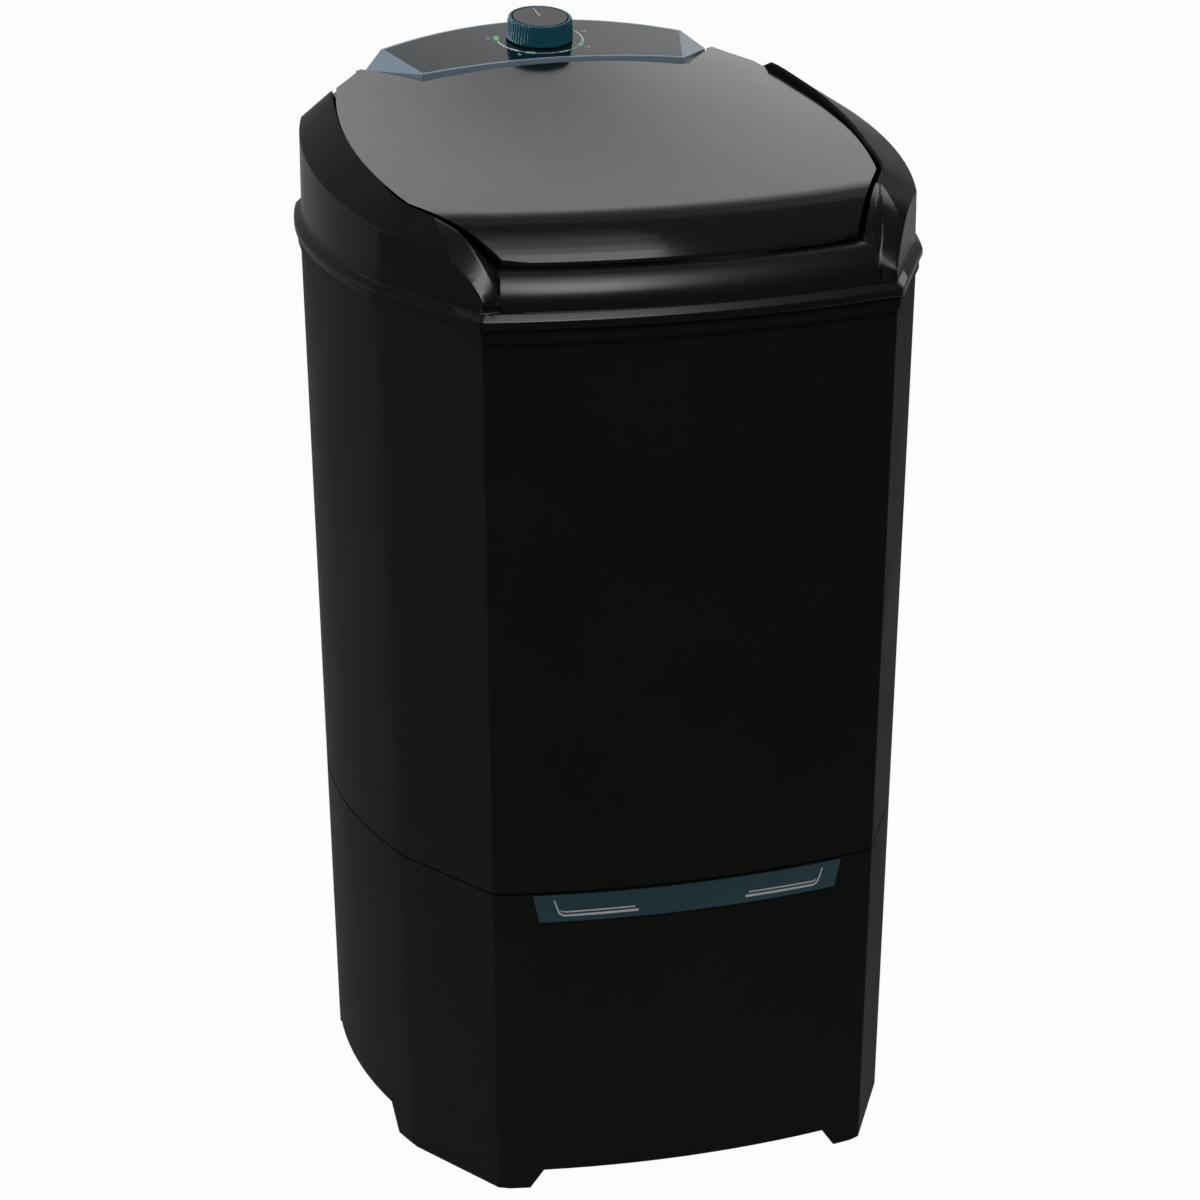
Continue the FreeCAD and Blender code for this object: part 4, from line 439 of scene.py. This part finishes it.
# Start, end, width
RING_ARCS = ((181, 214, 1.9), (214, 226, 2.6), (226, 318, 0.8), (282, 296, 2.2), (338, 378, 1.8), (20, 60, 0.9))
# Middle, half span, width
GREEN_TICKS = ((170, 8, 4), (243, 6, 4), (328, 8, 4))
NUMBER_RADIUS = 42
NUMBER_SIZE = 6
DIAL_NUMBERS = ((170, "0"), (232, "5"), (322, "10"), (14, "15"))
POINTER = ((0, 1), (0, 20.5))
POINTER_WIDTH = 1.2
STROKE_STEP = 2.5
ARC_STEP = 3
# In metres
PRINT_LIFT = 0.00016


class Printer:
    """Lays flat marks on a node's surface, seen along one direction."""

    def __init__(self, node, origin, across, up):
        surface = bmesh.new()
        surface.from_mesh(frame["nodes"][node].data)
        self.tree = BVHTree.FromBMesh(surface)
        surface.free()
        self.origin = origin
        self.across = across.normalized()
        self.up = up.normalized()
        self.out = self.across.cross(self.up)
        self.mesh = bmesh.new()

    def point(self, x, y):
        """The place on the surface under a point of the drawing."""
        place = self.origin + self.across * (x * MM) + self.up * (y * MM)
        hit, normal, _, _ = self.tree.ray_cast(place + self.out, -self.out)
        if hit is None:
            raise ValueError(f"no surface under {x}, {y}")
        return self.mesh.verts.new(hit + normal * PRINT_LIFT)

    def stroke(self, points, widths):
        """A line through points, of a width that changes along it."""
        rows = []
        for (start, end), (wide, next_wide) in zip(zip(points, points[1:]), zip(widths, widths[1:])):
            count = max(1, round(math.dist(start, end) / STROKE_STEP))
            for index in range(count + 1):
                share = index / count
                rows.append((
                    start[0] + (end[0] - start[0]) * share, start[1] + (end[1] - start[1]) * share,
                    wide + (next_wide - wide) * share, end[0] - start[0], end[1] - start[1],
                ))
        self.ribbon(rows)

    def arc(self, radius, start, end, width):
        """A line round the drawing's origin."""
        count = max(2, round(abs(end - start) / ARC_STEP))
        rows = []
        for index in range(count + 1):
            angle = math.radians(start + (end - start) * index / count)
            rows.append((
                radius * math.cos(angle), radius * math.sin(angle), width, -math.sin(angle), math.cos(angle)
            ))
        self.ribbon(rows)

    def ribbon(self, rows):
        """Faces between the two sides of a line of points with widths and headings."""
        last = None
        for x, y, width, ahead_x, ahead_y in rows:
            length = math.hypot(ahead_x, ahead_y)
            side_x = -ahead_y / length * width / 2
            side_y = ahead_x / length * width / 2
            pair = (self.point(x + side_x, y + side_y), self.point(x - side_x, y - side_y))
            if last:
                self.mesh.faces.new((last[0], last[1], pair[1], pair[0]))
            last = pair

    def number(self, label, angle, radius, size):
        """A numeral centred on a radius of the dial."""
        curve = bpy.data.curves.new(f"numeral_{label}", "FONT")
        curve.body = label
        curve.size = size
        curve.align_x = "CENTER"
        curve.align_y = "CENTER"
        holder = bpy.data.objects.new(f"numeral_{label}", curve)
        shape = holder.to_mesh()
        centre_x = radius * math.cos(math.radians(angle))
        centre_y = radius * math.sin(math.radians(angle))
        verts = [self.point(centre_x + vert.co.x, centre_y + vert.co.y) for vert in shape.vertices]
        for face in shape.polygons:
            self.mesh.faces.new([verts[index] for index in face.vertices])
        holder.to_mesh_clear()
        bpy.data.objects.remove(holder)
        bpy.data.curves.remove(curve)

    def finish(self, name, material, body, slot):
        """Make the marks into a piece of their own."""
        bmesh.ops.recalc_face_normals(self.mesh, faces=self.mesh.faces)
        finish_piece(name, self.mesh, material, body)


# Knob, in millimetres
FLUTES = 60
FLUTE_STEPS = 8
FLUTE_DEPTH = 0.75
FLUTE_POWER = 1.5
SKIRT_LIFT = 1.0
# Radius, height and share of the flutes' depth along the skirt's outside and over its rim
SKIRT_PROFILE = (
    (24.8, 0, 0), (27.2, 0, 0), (27.5, 0.3, 0), (27.5, 1.2, 0.3), (27.4, 2.4, 1), (26.55, 14.6, 1), (26.3, 16, 1),
    (25.95, 16.9, 0.9), (25.4, 17.35, 0.3), (24.9, 17.5, 0), (23.95, 17.5, 0), (23.55, 17.2, 0), (23.45, 16.6, 0),
    (23.45, 15.9, 0),
)


def dial_axis():
    """The dial's pivot and the direction that its axis points out."""
    joint = next(joint for joint in frame["joints"] if joint["name"] == "timer_dial")
    return Vector(joint["pos_m"]), Vector(joint["axis"]).normalized()


def dial_printer(node):
    """A printer on a node that faces along the dial's axis, centred on the dial."""
    pivot, axis = dial_axis()
    return Printer(node, pivot, ACROSS, axis.cross(ACROSS))


def make_skirt():
    """The knob's fluted skirt: a ring carried along its profile, with scallops pressed into it."""
    pivot, axis = dial_axis()
    mesh = bmesh.new()
    loop = bmesh.ops.create_circle(mesh, segments=FLUTES * FLUTE_STEPS, radius=SKIRT_PROFILE[0][0] * MM)["verts"]
    place_ring(loop, SKIRT_PROFILE[0])
    edges = mesh.edges[:]
    for station in SKIRT_PROFILE[1:]:
        grown = bmesh.ops.extrude_edge_only(mesh, edges=edges)["geom"]
        edges = [item for item in grown if isinstance(item, bmesh.types.BMEdge)]
        loop = [item for item in grown if isinstance(item, bmesh.types.BMVert)]
        place_ring(loop, station)
    turn = Matrix((ACROSS, axis.cross(ACROSS), axis)).transposed().to_4x4()
    place = Matrix.Translation(pivot + axis * SKIRT_LIFT * MM)
    bmesh.ops.transform(mesh, matrix=place @ turn, verts=mesh.verts)
    bmesh.ops.recalc_face_normals(mesh, faces=mesh.faces)
    for face in mesh.faces:
        face.smooth = True
    piece = finish_piece("knob_skirt", mesh, knob_plastic(), "dial")
    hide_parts("timer_knob")


def place_ring(verts, station):
    """Move a ring of points to a radius and height, with flutes of a share of their full depth."""
    radius, height, share = station
    for vert in verts:
        angle = math.atan2(vert.co.y, vert.co.x)
        press = FLUTE_DEPTH * share * abs(math.sin(angle * FLUTES / 2)) ** FLUTE_POWER
        vert.co.x = math.cos(angle) * (radius - press) * MM
        vert.co.y = math.sin(angle) * (radius - press) * MM
        vert.co.z = height * MM


# Lid, in metres: the radii are in plan, from the axis of the front's bow
BOW_AXIS = 0.338
SWELL_START = 0.519
SWELL_END = 0.563
SWELL = 0.0106
FALL_REACH = 0.008
FALL_CUTS = 9
CREASE_MIDDLE = 0.5245
# Change of slope across the crease
CREASE_TURN = 0.37
CREASE_HALF = 0.020
# Half width of the rounding that the solid already has
CREASE_MADE = 0.005
CREASE_CUTS = (1, 0.8, 0.6, 0.4, 0.2)
CUT_REAR = 0.02
CUT_MARGIN = 0.0005

# Top frame, in metres and degrees
FRAME_MERGE = 0.0003
FRAME_FLAT_ANGLE = 0.5
# Where the polish of the front starts, and the half widths of the band and of the ridges beside it
GLOSS_FRONT = -0.137
BAND_HALF = 0.149
RIDGE_HALF = 0.175
# Faces of the ridges that are polished turn less than this to the side
RIDGE_SIDE = 0.6


def bow_radius(point):
    """Distance in plan from the axis of the front's bow."""
    return math.hypot(point.x, BOW_AXIS - point.y)


def swell_apron(mesh):
    """Round the lid's front fall outwards, so that it steepens to its lower edge, and soften the crease above it."""
    for radius in (CREASE_MIDDLE - CREASE_HALF * share for share in CREASE_CUTS):
        ring_cut(mesh, radius)
    falls = [
        side for side in mesh.edges
        if SWELL_START < min(bow_radius(vert.co) for vert in side.verts)
        and abs(bow_radius(side.verts[0].co) - bow_radius(side.verts[1].co)) > FALL_REACH
    ]
    bmesh.ops.subdivide_edges(mesh, edges=falls, cuts=FALL_CUTS, use_grid_fill=True)
    for vert in mesh.verts:
        if vert.co.y > 0:
            continue
        radius = bow_radius(vert.co)
        share = (radius - SWELL_START) / (SWELL_END - SWELL_START)
        if 0 < share < 1:
            vert.co.z += SWELL * share * share * (1 - share)
        vert.co.z += crease_drop(radius, CREASE_MADE) - crease_drop(radius, CREASE_HALF)


def crease_drop(radius, half):
    """How far a rounding of this half width lies under the crease's two straight flanks."""
    reach = max(0, 1 - abs(radius - CREASE_MIDDLE) / half)
    return CREASE_TURN * half / 4 * reach * reach


def ring_cut(mesh, radius):
    """Add points where the edges of the front half cross a circle about the bow's axis."""
    crossing = {}
    for side in mesh.edges:
        near, far = sorted(side.verts, key=lambda vert: bow_radius(vert.co))
        inner, outer = bow_radius(near.co), bow_radius(far.co)
        if near.co.y < CUT_REAR and inner < radius - CUT_MARGIN and outer > radius + CUT_MARGIN:
            share = (radius - inner) / (outer - inner)
            crossing[side] = share if side.verts[0] == near else 1 - share
    bmesh.ops.subdivide_edges(mesh, edges=list(crossing), cuts=1, edge_percents=crossing)


def clean_frame(mesh):
    """Merge the finest slivers, so that the edges can be rounded, and cut the faces where the ridges' polish ends."""
    bmesh.ops.remove_doubles(mesh, verts=mesh.verts, dist=FRAME_MERGE)
    bmesh.ops.dissolve_degenerate(mesh, dist=FRAME_MERGE, edges=mesh.edges)
    bmesh.ops.dissolve_limit(mesh, angle_limit=math.radians(FRAME_FLAT_ANGLE), verts=mesh.verts, edges=mesh.edges)
    for side in (-RIDGE_HALF, RIDGE_HALF):
        everything = mesh.verts[:] + mesh.edges[:] + mesh.faces[:]
        bmesh.ops.bisect_plane(mesh, geom=everything, plane_co=(side, 0, 0), plane_no=(1, 0, 0))


def polish_front(piece, finish):
    """Give the frame's front band and the ridges beside it a polish of their own."""
    piece.data.materials.append(finish)
    for face in piece.data.polygons:
        aside = abs(face.center.x)
        ridge = aside < RIDGE_HALF and abs(face.normal.x) < RIDGE_SIDE
        if face.center.y < GLOSS_FRONT and (aside < BAND_HALF or ridge):
            face.material_index = 1


# Operators
class WASHER_OT_cabinet(bpy.types.Operator):
    """Cabinet, base, bottom cover and feet"""

    bl_idname = "washer.cabinet"
    bl_label = "Cabinet and base"

    def execute(self, context):
        for node in ("cabinet_shell", "base_shell"):
            dress(node, body_plastic())
        dress("bottom_cover", body_plastic(), SHARP)
        dress("foot_pads", rubber())
        dress("cover_screws", turned_steel(), SHARP)
        return {"FINISHED"}


class WASHER_OT_strip(bpy.types.Operator):
    """Plate on the front seam with its bright lines"""

    bl_idname = "washer.strip"
    bl_label = "Front strip"

    def execute(self, context):
        dress("front_trim", strip_plastic(), FINE_EDGE)
        low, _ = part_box("front_trim")
        printed = Printer("front_trim", Vector((0, 0, low[2])), ACROSS, UP)
        for side in (-1, 1):
            for points, widths in STRIP_LINES:
                printed.stroke([(side * x, z) for x, z in points], widths)
        printed.finish("strip_lines", silver_print(), "housing", "trim_plastic")
        return {"FINISHED"}


class WASHER_OT_top(bpy.types.Operator):
    """Top frame with its rails, pillars and front band"""

    bl_idname = "washer.top"
    bl_label = "Top frame"

    def execute(self, context):
        piece = dress(
            "top_frame", frame_plastic_painted_sheen(), FRAME_EDGE, crease=35, shape=clean_frame, shortest=FRAME_SHORTEST
        )
        polish_front(piece, band_plastic())
        return {"FINISHED"}


class WASHER_OT_lid(bpy.types.Operator):
    """Hinged lid and its pins"""

    bl_idname = "washer.lid"
    bl_label = "Lid"

    def execute(self, context):
        dress("lid", lid_plastic(), LID_EDGE, crease=55, smooth_crease=60, shape=swell_apron)
        dress("hinge_pins", turned_steel(), SHARP)
        return {"FINISHED"}


class WASHER_OT_console(bpy.types.Operator):
    """Console housing, and the faceplate with its print round the dial"""

    bl_idname = "washer.console"
    bl_label = "Console"

    def execute(self, context):
        dress("console_housing", console_paint(), CONSOLE_EDGE)
        dress("console_faceplate", face_film(), FILM_EDGE)
        ring = dial_printer("console_faceplate")
        for start, end, width in RING_ARCS:
            ring.arc(RING_RADIUS, start, end, width)
        ring.finish("dial_ring", silver_print(), "housing", "face_plastic")
        ticks = dial_printer("console_faceplate")
        for angle, half, width in GREEN_TICKS:
            ticks.arc(RING_RADIUS, angle - half, angle + half, width)
        ticks.finish("dial_ticks", green_print(), "housing", "face_plastic")
        numbers = dial_printer("console_faceplate")
        for angle, label in DIAL_NUMBERS:
            numbers.number(label, angle, NUMBER_RADIUS, NUMBER_SIZE)
        numbers.finish("dial_numbers", silver_print(), "housing", "face_plastic")
        return {"FINISHED"}


class WASHER_OT_dial(bpy.types.Operator):
    """Timer knob with its cap and pointer, and the timer behind it"""

    bl_idname = "washer.dial"
    bl_label = "Dial"

    def execute(self, context):
        make_skirt()
        dress("knob_cap", cap_plastic(), FINE_EDGE)
        pointer = dial_printer("knob_cap")
        pointer.stroke(POINTER, (POINTER_WIDTH, POINTER_WIDTH))
        pointer.finish("knob_pointer", silver_print(), "dial", "cap_plastic")
        dress("timer_shaft", turned_steel(), SHARP)
        dress("timer_body", pale_plastic(), SHARP)
        dress("timer_screws", turned_steel(), SHARP)
        return {"FINISHED"}


class WASHER_OT_tub(bpy.types.Operator):
    """Wash tub, pulsator and lint filter"""

    bl_idname = "washer.tub"
    bl_label = "Tub and pulsator"

    def execute(self, context):
        for node in ("wash_tub", "filter_guide"):
            dress(node, tub_plastic())
        for node in ("pulsator", "lint_filter"):
            dress(node, pulsator_plastic())
        dress("pulsator_bolt", turned_steel(), SHARP)
        dress("tub_rim_seal", rubber(), SHARP)
        return {"FINISHED"}


class WASHER_OT_drive(bpy.types.Operator):
    """Motor, belt, pulleys, bearing and drain"""

    bl_idname = "washer.drive"
    bl_label = "Drive and drain"

    def execute(self, context):
        finishes = (
            (rubber, ("shaft_seal", "drain_seal", "motor_grommets", "drive_belt", "cable_gland")),
            (turned_steel, ("drive_shaft", "pulley_nut", "motor_shaft", "motor_bolts", "bearing_bolts",
                            "chassis_bolts", "capacitor_clip")),
            (bronze, ("shaft_bushes",)),
            (cast_alloy, ("bearing_housing", "driven_pulley", "motor_pulley")),
            (coated_steel, ("motor_housing", "chassis_plate")),
            (pale_plastic, ("capacitor", "drain_outlet")),
        )
        for finish, nodes in finishes:
            for node in nodes:
                dress(node, finish(), SHARP)
        return {"FINISHED"}


class WASHER_OT_stage(bpy.types.Operator):
    """Floor, backdrop, lights and camera"""

    bl_idname = "washer.stage"
    bl_label = "Stage"

    def execute(self, context):
        stage = settings().stage
        make_floor(stage)
        make_lights(stage)
        make_camera(stage)
        context.scene.view_settings.view_transform = "Standard"
        return {"FINISHED"}


# Stage, in metres and degrees
FLOOR_FRONT = -0.62
FLOOR_BACK = 6.0
FLOOR_HALF = 7.9
WALL_TOP = 7.8
SWEEP = 0.5
SWEEP_STEPS = 12
DOME_RADIUS = 20
DOME_DETAIL = 4
PAPER_ROUGH = 0.9
PAPER_SPECULAR = 0.1
PAPER_GLOW = 0.97
# Heights between which the backdrop's glow fades, and what is left of it
FADE_START = 4.19
FADE_END = 6.42
FADE_LEVEL = 0.15
KEY_HEIGHT = 2.9
KEY_WIDTH = 0.95
KEY_FRONT = -2.4
KEY_GAP = 0.01
# The light overhead fades to the rear: each panel's rear end, its middle across and its brightness beside the others
KEY_PANELS = (
    (1.05, 0.1, 0.08), (0.75, 0.1, 0.14), (0.5, 0.1, 0.25), (0.2, 0.1, 0.55), (-0.1, 0.08, 0.9), (-0.5, -0.02, 1.4),
    (-0.9, -0.12, 2.0),
)
LEFT_PLACE = (-2.4, 1.7, 1.4)
LEFT_TARGET = (0, 0, 0.45)
LEFT_WIDTH = 1.0
LEFT_HEIGHT = 1.6
CAMERA_PLACE = (-0.8672, -2.9224, 1.5262)
CAMERA_TILT = 69.76
CAMERA_TURN = -16.578
CAMERA_SHIFT = -0.005
CAMERA_NEAR = 0.05
# In millimetres
SENSOR_WIDTH = 36


def make_floor(stage):
    """A floor that sweeps up into a backdrop behind the object."""
    mesh = bmesh.new()
    row = [mesh.verts.new((-FLOOR_HALF, FLOOR_FRONT, 0)), mesh.verts.new((-FLOOR_HALF, FLOOR_BACK, 0))]
    mesh.edges.new(row)
    bend = bmesh.ops.spin(
        mesh, geom=[row[1]], cent=(-FLOOR_HALF, FLOOR_BACK, SWEEP), axis=(1, 0, 0), angle=math.radians(90),
        steps=SWEEP_STEPS,
    )
    tip = next(item for item in bend["geom_last"] if isinstance(item, bmesh.types.BMVert))
    top = bmesh.ops.extrude_vert_indiv(mesh, verts=[tip])["verts"][0]
    top.co.z = WALL_TOP
    wide = bmesh.ops.extrude_edge_only(mesh, edges=mesh.edges[:])
    across = [item for item in wide["geom"] if isinstance(item, bmesh.types.BMVert)]
    bmesh.ops.translate(mesh, verts=across, vec=(2 * FLOOR_HALF, 0, 0))
    bmesh.ops.recalc_face_normals(mesh, faces=mesh.faces)
    if next(iter(mesh.faces)).normal.z < 0:
        bmesh.ops.reverse_faces(mesh, faces=mesh.faces)
    for face in mesh.faces:
        face.smooth = True
    paper = backdrop_material(stage)
    stage_piece("studio_sweep", mesh, paper)
    make_dome(paper)


def make_dome(paper):
    """A far background for views from the sides and the rear. Only the camera sees it, so it adds no light."""
    mesh = bmesh.new()
    bmesh.ops.create_icosphere(mesh, subdivisions=DOME_DETAIL, radius=DOME_RADIUS)
    dome = stage_piece("studio_dome", mesh, paper)
    dome.visible_diffuse = False
    dome.visible_glossy = False
    dome.visible_transmission = False
    dome.visible_volume_scatter = False
    dome.visible_shadow = False


def stage_piece(name, mesh, material):
    """Make a bmesh into an object of the scene, for the studio."""
    piece = link_mesh(name, mesh, material)
    return piece


def backdrop_material(stage):
    """Pale paper that reads as white to the camera and in reflections, and still takes the object's shadow."""
    material, tree = new_material("studio_paper")
    if tree is None:
        return material
    shader = tree.nodes["Principled BSDF"]
    output = tree.nodes["Material Output"]
    shader.inputs["Base Color"].default_value = (*stage.floor, 1)
    shader.inputs["Roughness"].default_value = PAPER_ROUGH
    shader.inputs["Specular IOR Level"].default_value = PAPER_SPECULAR
    glow = add_node(tree, "ShaderNodeEmission")
    height = add_node(tree, "ShaderNodeSeparateXYZ")
    fade = add_node(tree, "ShaderNodeMapRange", interpolation_type="SMOOTHSTEP")
    map_range(fade, FADE_START, FADE_END, 1.0, FADE_LEVEL)
    tree.links.new(object_coords(tree), height.inputs["Vector"])
    tree.links.new(height.outputs["Z"], fade.inputs["Value"])
    tree.links.new(fade.outputs["Result"], glow.inputs["Strength"])
    rays = add_node(tree, "ShaderNodeLightPath")
    seen = add_node(tree, "ShaderNodeMath", operation="MAXIMUM")
    also = add_node(tree, "ShaderNodeMath", operation="MAXIMUM")
    share = add_node(tree, "ShaderNodeMath", operation="MULTIPLY")
    share.inputs[1].default_value = PAPER_GLOW
    mix = add_node(tree, "ShaderNodeMixShader")
    tree.links.new(rays.outputs["Is Camera Ray"], seen.inputs[0])
    tree.links.new(rays.outputs["Is Glossy Ray"], seen.inputs[1])
    tree.links.new(seen.outputs[0], also.inputs[0])
    tree.links.new(rays.outputs["Is Transmission Ray"], also.inputs[1])
    tree.links.new(also.outputs[0], share.inputs[0])
    tree.links.new(share.outputs[0], mix.inputs["Fac"])
    tree.links.new(shader.outputs["BSDF"], mix.inputs[1])
    tree.links.new(glow.outputs["Emission"], mix.inputs[2])
    tree.links.new(mix.outputs["Shader"], output.inputs["Surface"])
    return material


def area_light(name, place, target, width, height, power):
    """A rectangular lamp that faces a target."""
    data = bpy.data.lights.new(name, "AREA")
    data.shape = "RECTANGLE"
    data.size = width
    data.size_y = height
    data.energy = power
    lamp = bpy.data.objects.new(name, data)
    bpy.context.scene.collection.objects.link(lamp)
    lamp.location = place
    aim = Vector(target) - Vector(place)
    lamp.rotation_euler = aim.to_track_quat("-Z", "Y").to_euler()


def make_lights(stage):
    """A dim studio, stacked panels overhead that add up to one fading light, and a lamp on the left."""
    world = bpy.data.worlds.new("studio")
    world.use_nodes = True
    back = world.node_tree.nodes["Background"]
    back.inputs["Color"].default_value = (1, 1, 1, 1)
    back.inputs["Strength"].default_value = stage.ambient
    bpy.context.scene.world = world
    whole = sum((end - KEY_FRONT) * level for end, _, level in KEY_PANELS)
    for number, (end, side, level) in enumerate(KEY_PANELS):
        middle, length, height = (end + KEY_FRONT) / 2, end - KEY_FRONT, KEY_HEIGHT + number * KEY_GAP
        area_light(
            f"key_{number}", (side, middle, height), (side, middle, 0), KEY_WIDTH, length,
            stage.key * level * length / whole,
        )
    area_light("left", LEFT_PLACE, LEFT_TARGET, LEFT_WIDTH, LEFT_HEIGHT, stage.side)


def make_camera(stage):
    """A camera at the photograph's viewing angle."""
    data = bpy.data.cameras.new("photo_camera")
    data.sensor_width = SENSOR_WIDTH
    data.lens = stage.focal
    data.shift_x = CAMERA_SHIFT
    data.clip_start = CAMERA_NEAR
    camera = bpy.data.objects.new("photo_camera", data)
    bpy.context.scene.collection.objects.link(camera)
    camera.location = CAMERA_PLACE
    camera.rotation_euler = (math.radians(CAMERA_TILT), 0, math.radians(CAMERA_TURN))
    bpy.context.scene.camera = camera


class WASHER_PT_panel(bpy.types.Panel):
    """Settings and steps of the washing machine"""

    bl_label = "Washing machine"
    bl_idname = "WASHER_PT_panel"
    bl_space_type = "VIEW_3D"
    bl_region_type = "UI"
    bl_category = "Washer"

    def draw(self, context):
        washer = context.scene.washer
        for group in (washer.plastics, washer.accents, washer.stage):
            box = self.layout.box()
            for name in group.__annotations__:
                box.prop(group, name)
        for operator in STEPS:
            self.layout.operator(operator.bl_idname)


STEPS = (
    WASHER_OT_cabinet, WASHER_OT_strip, WASHER_OT_top, WASHER_OT_lid, WASHER_OT_console, WASHER_OT_dial,
    WASHER_OT_tub, WASHER_OT_drive, WASHER_OT_stage,
)
GROUPS = (WasherPlastics, WasherAccents, WasherStage, WasherSettings)


def register():
    for item in (*GROUPS, *STEPS, WASHER_PT_panel):
        bpy.utils.register_class(item)
    bpy.types.Scene.washer = PointerProperty(
        type=WasherSettings, name="Washing machine", description="Settings of the washing machine"
    )


def unregister():
    del bpy.types.Scene.washer
    for item in reversed((*GROUPS, *STEPS, WASHER_PT_panel)):
        bpy.utils.unregister_class(item)


def main():
    register()
    for operator in STEPS:
        group, name = operator.bl_idname.split(".")
        getattr(getattr(bpy.ops, group), name)()


if __name__ == "__main__":
    main()
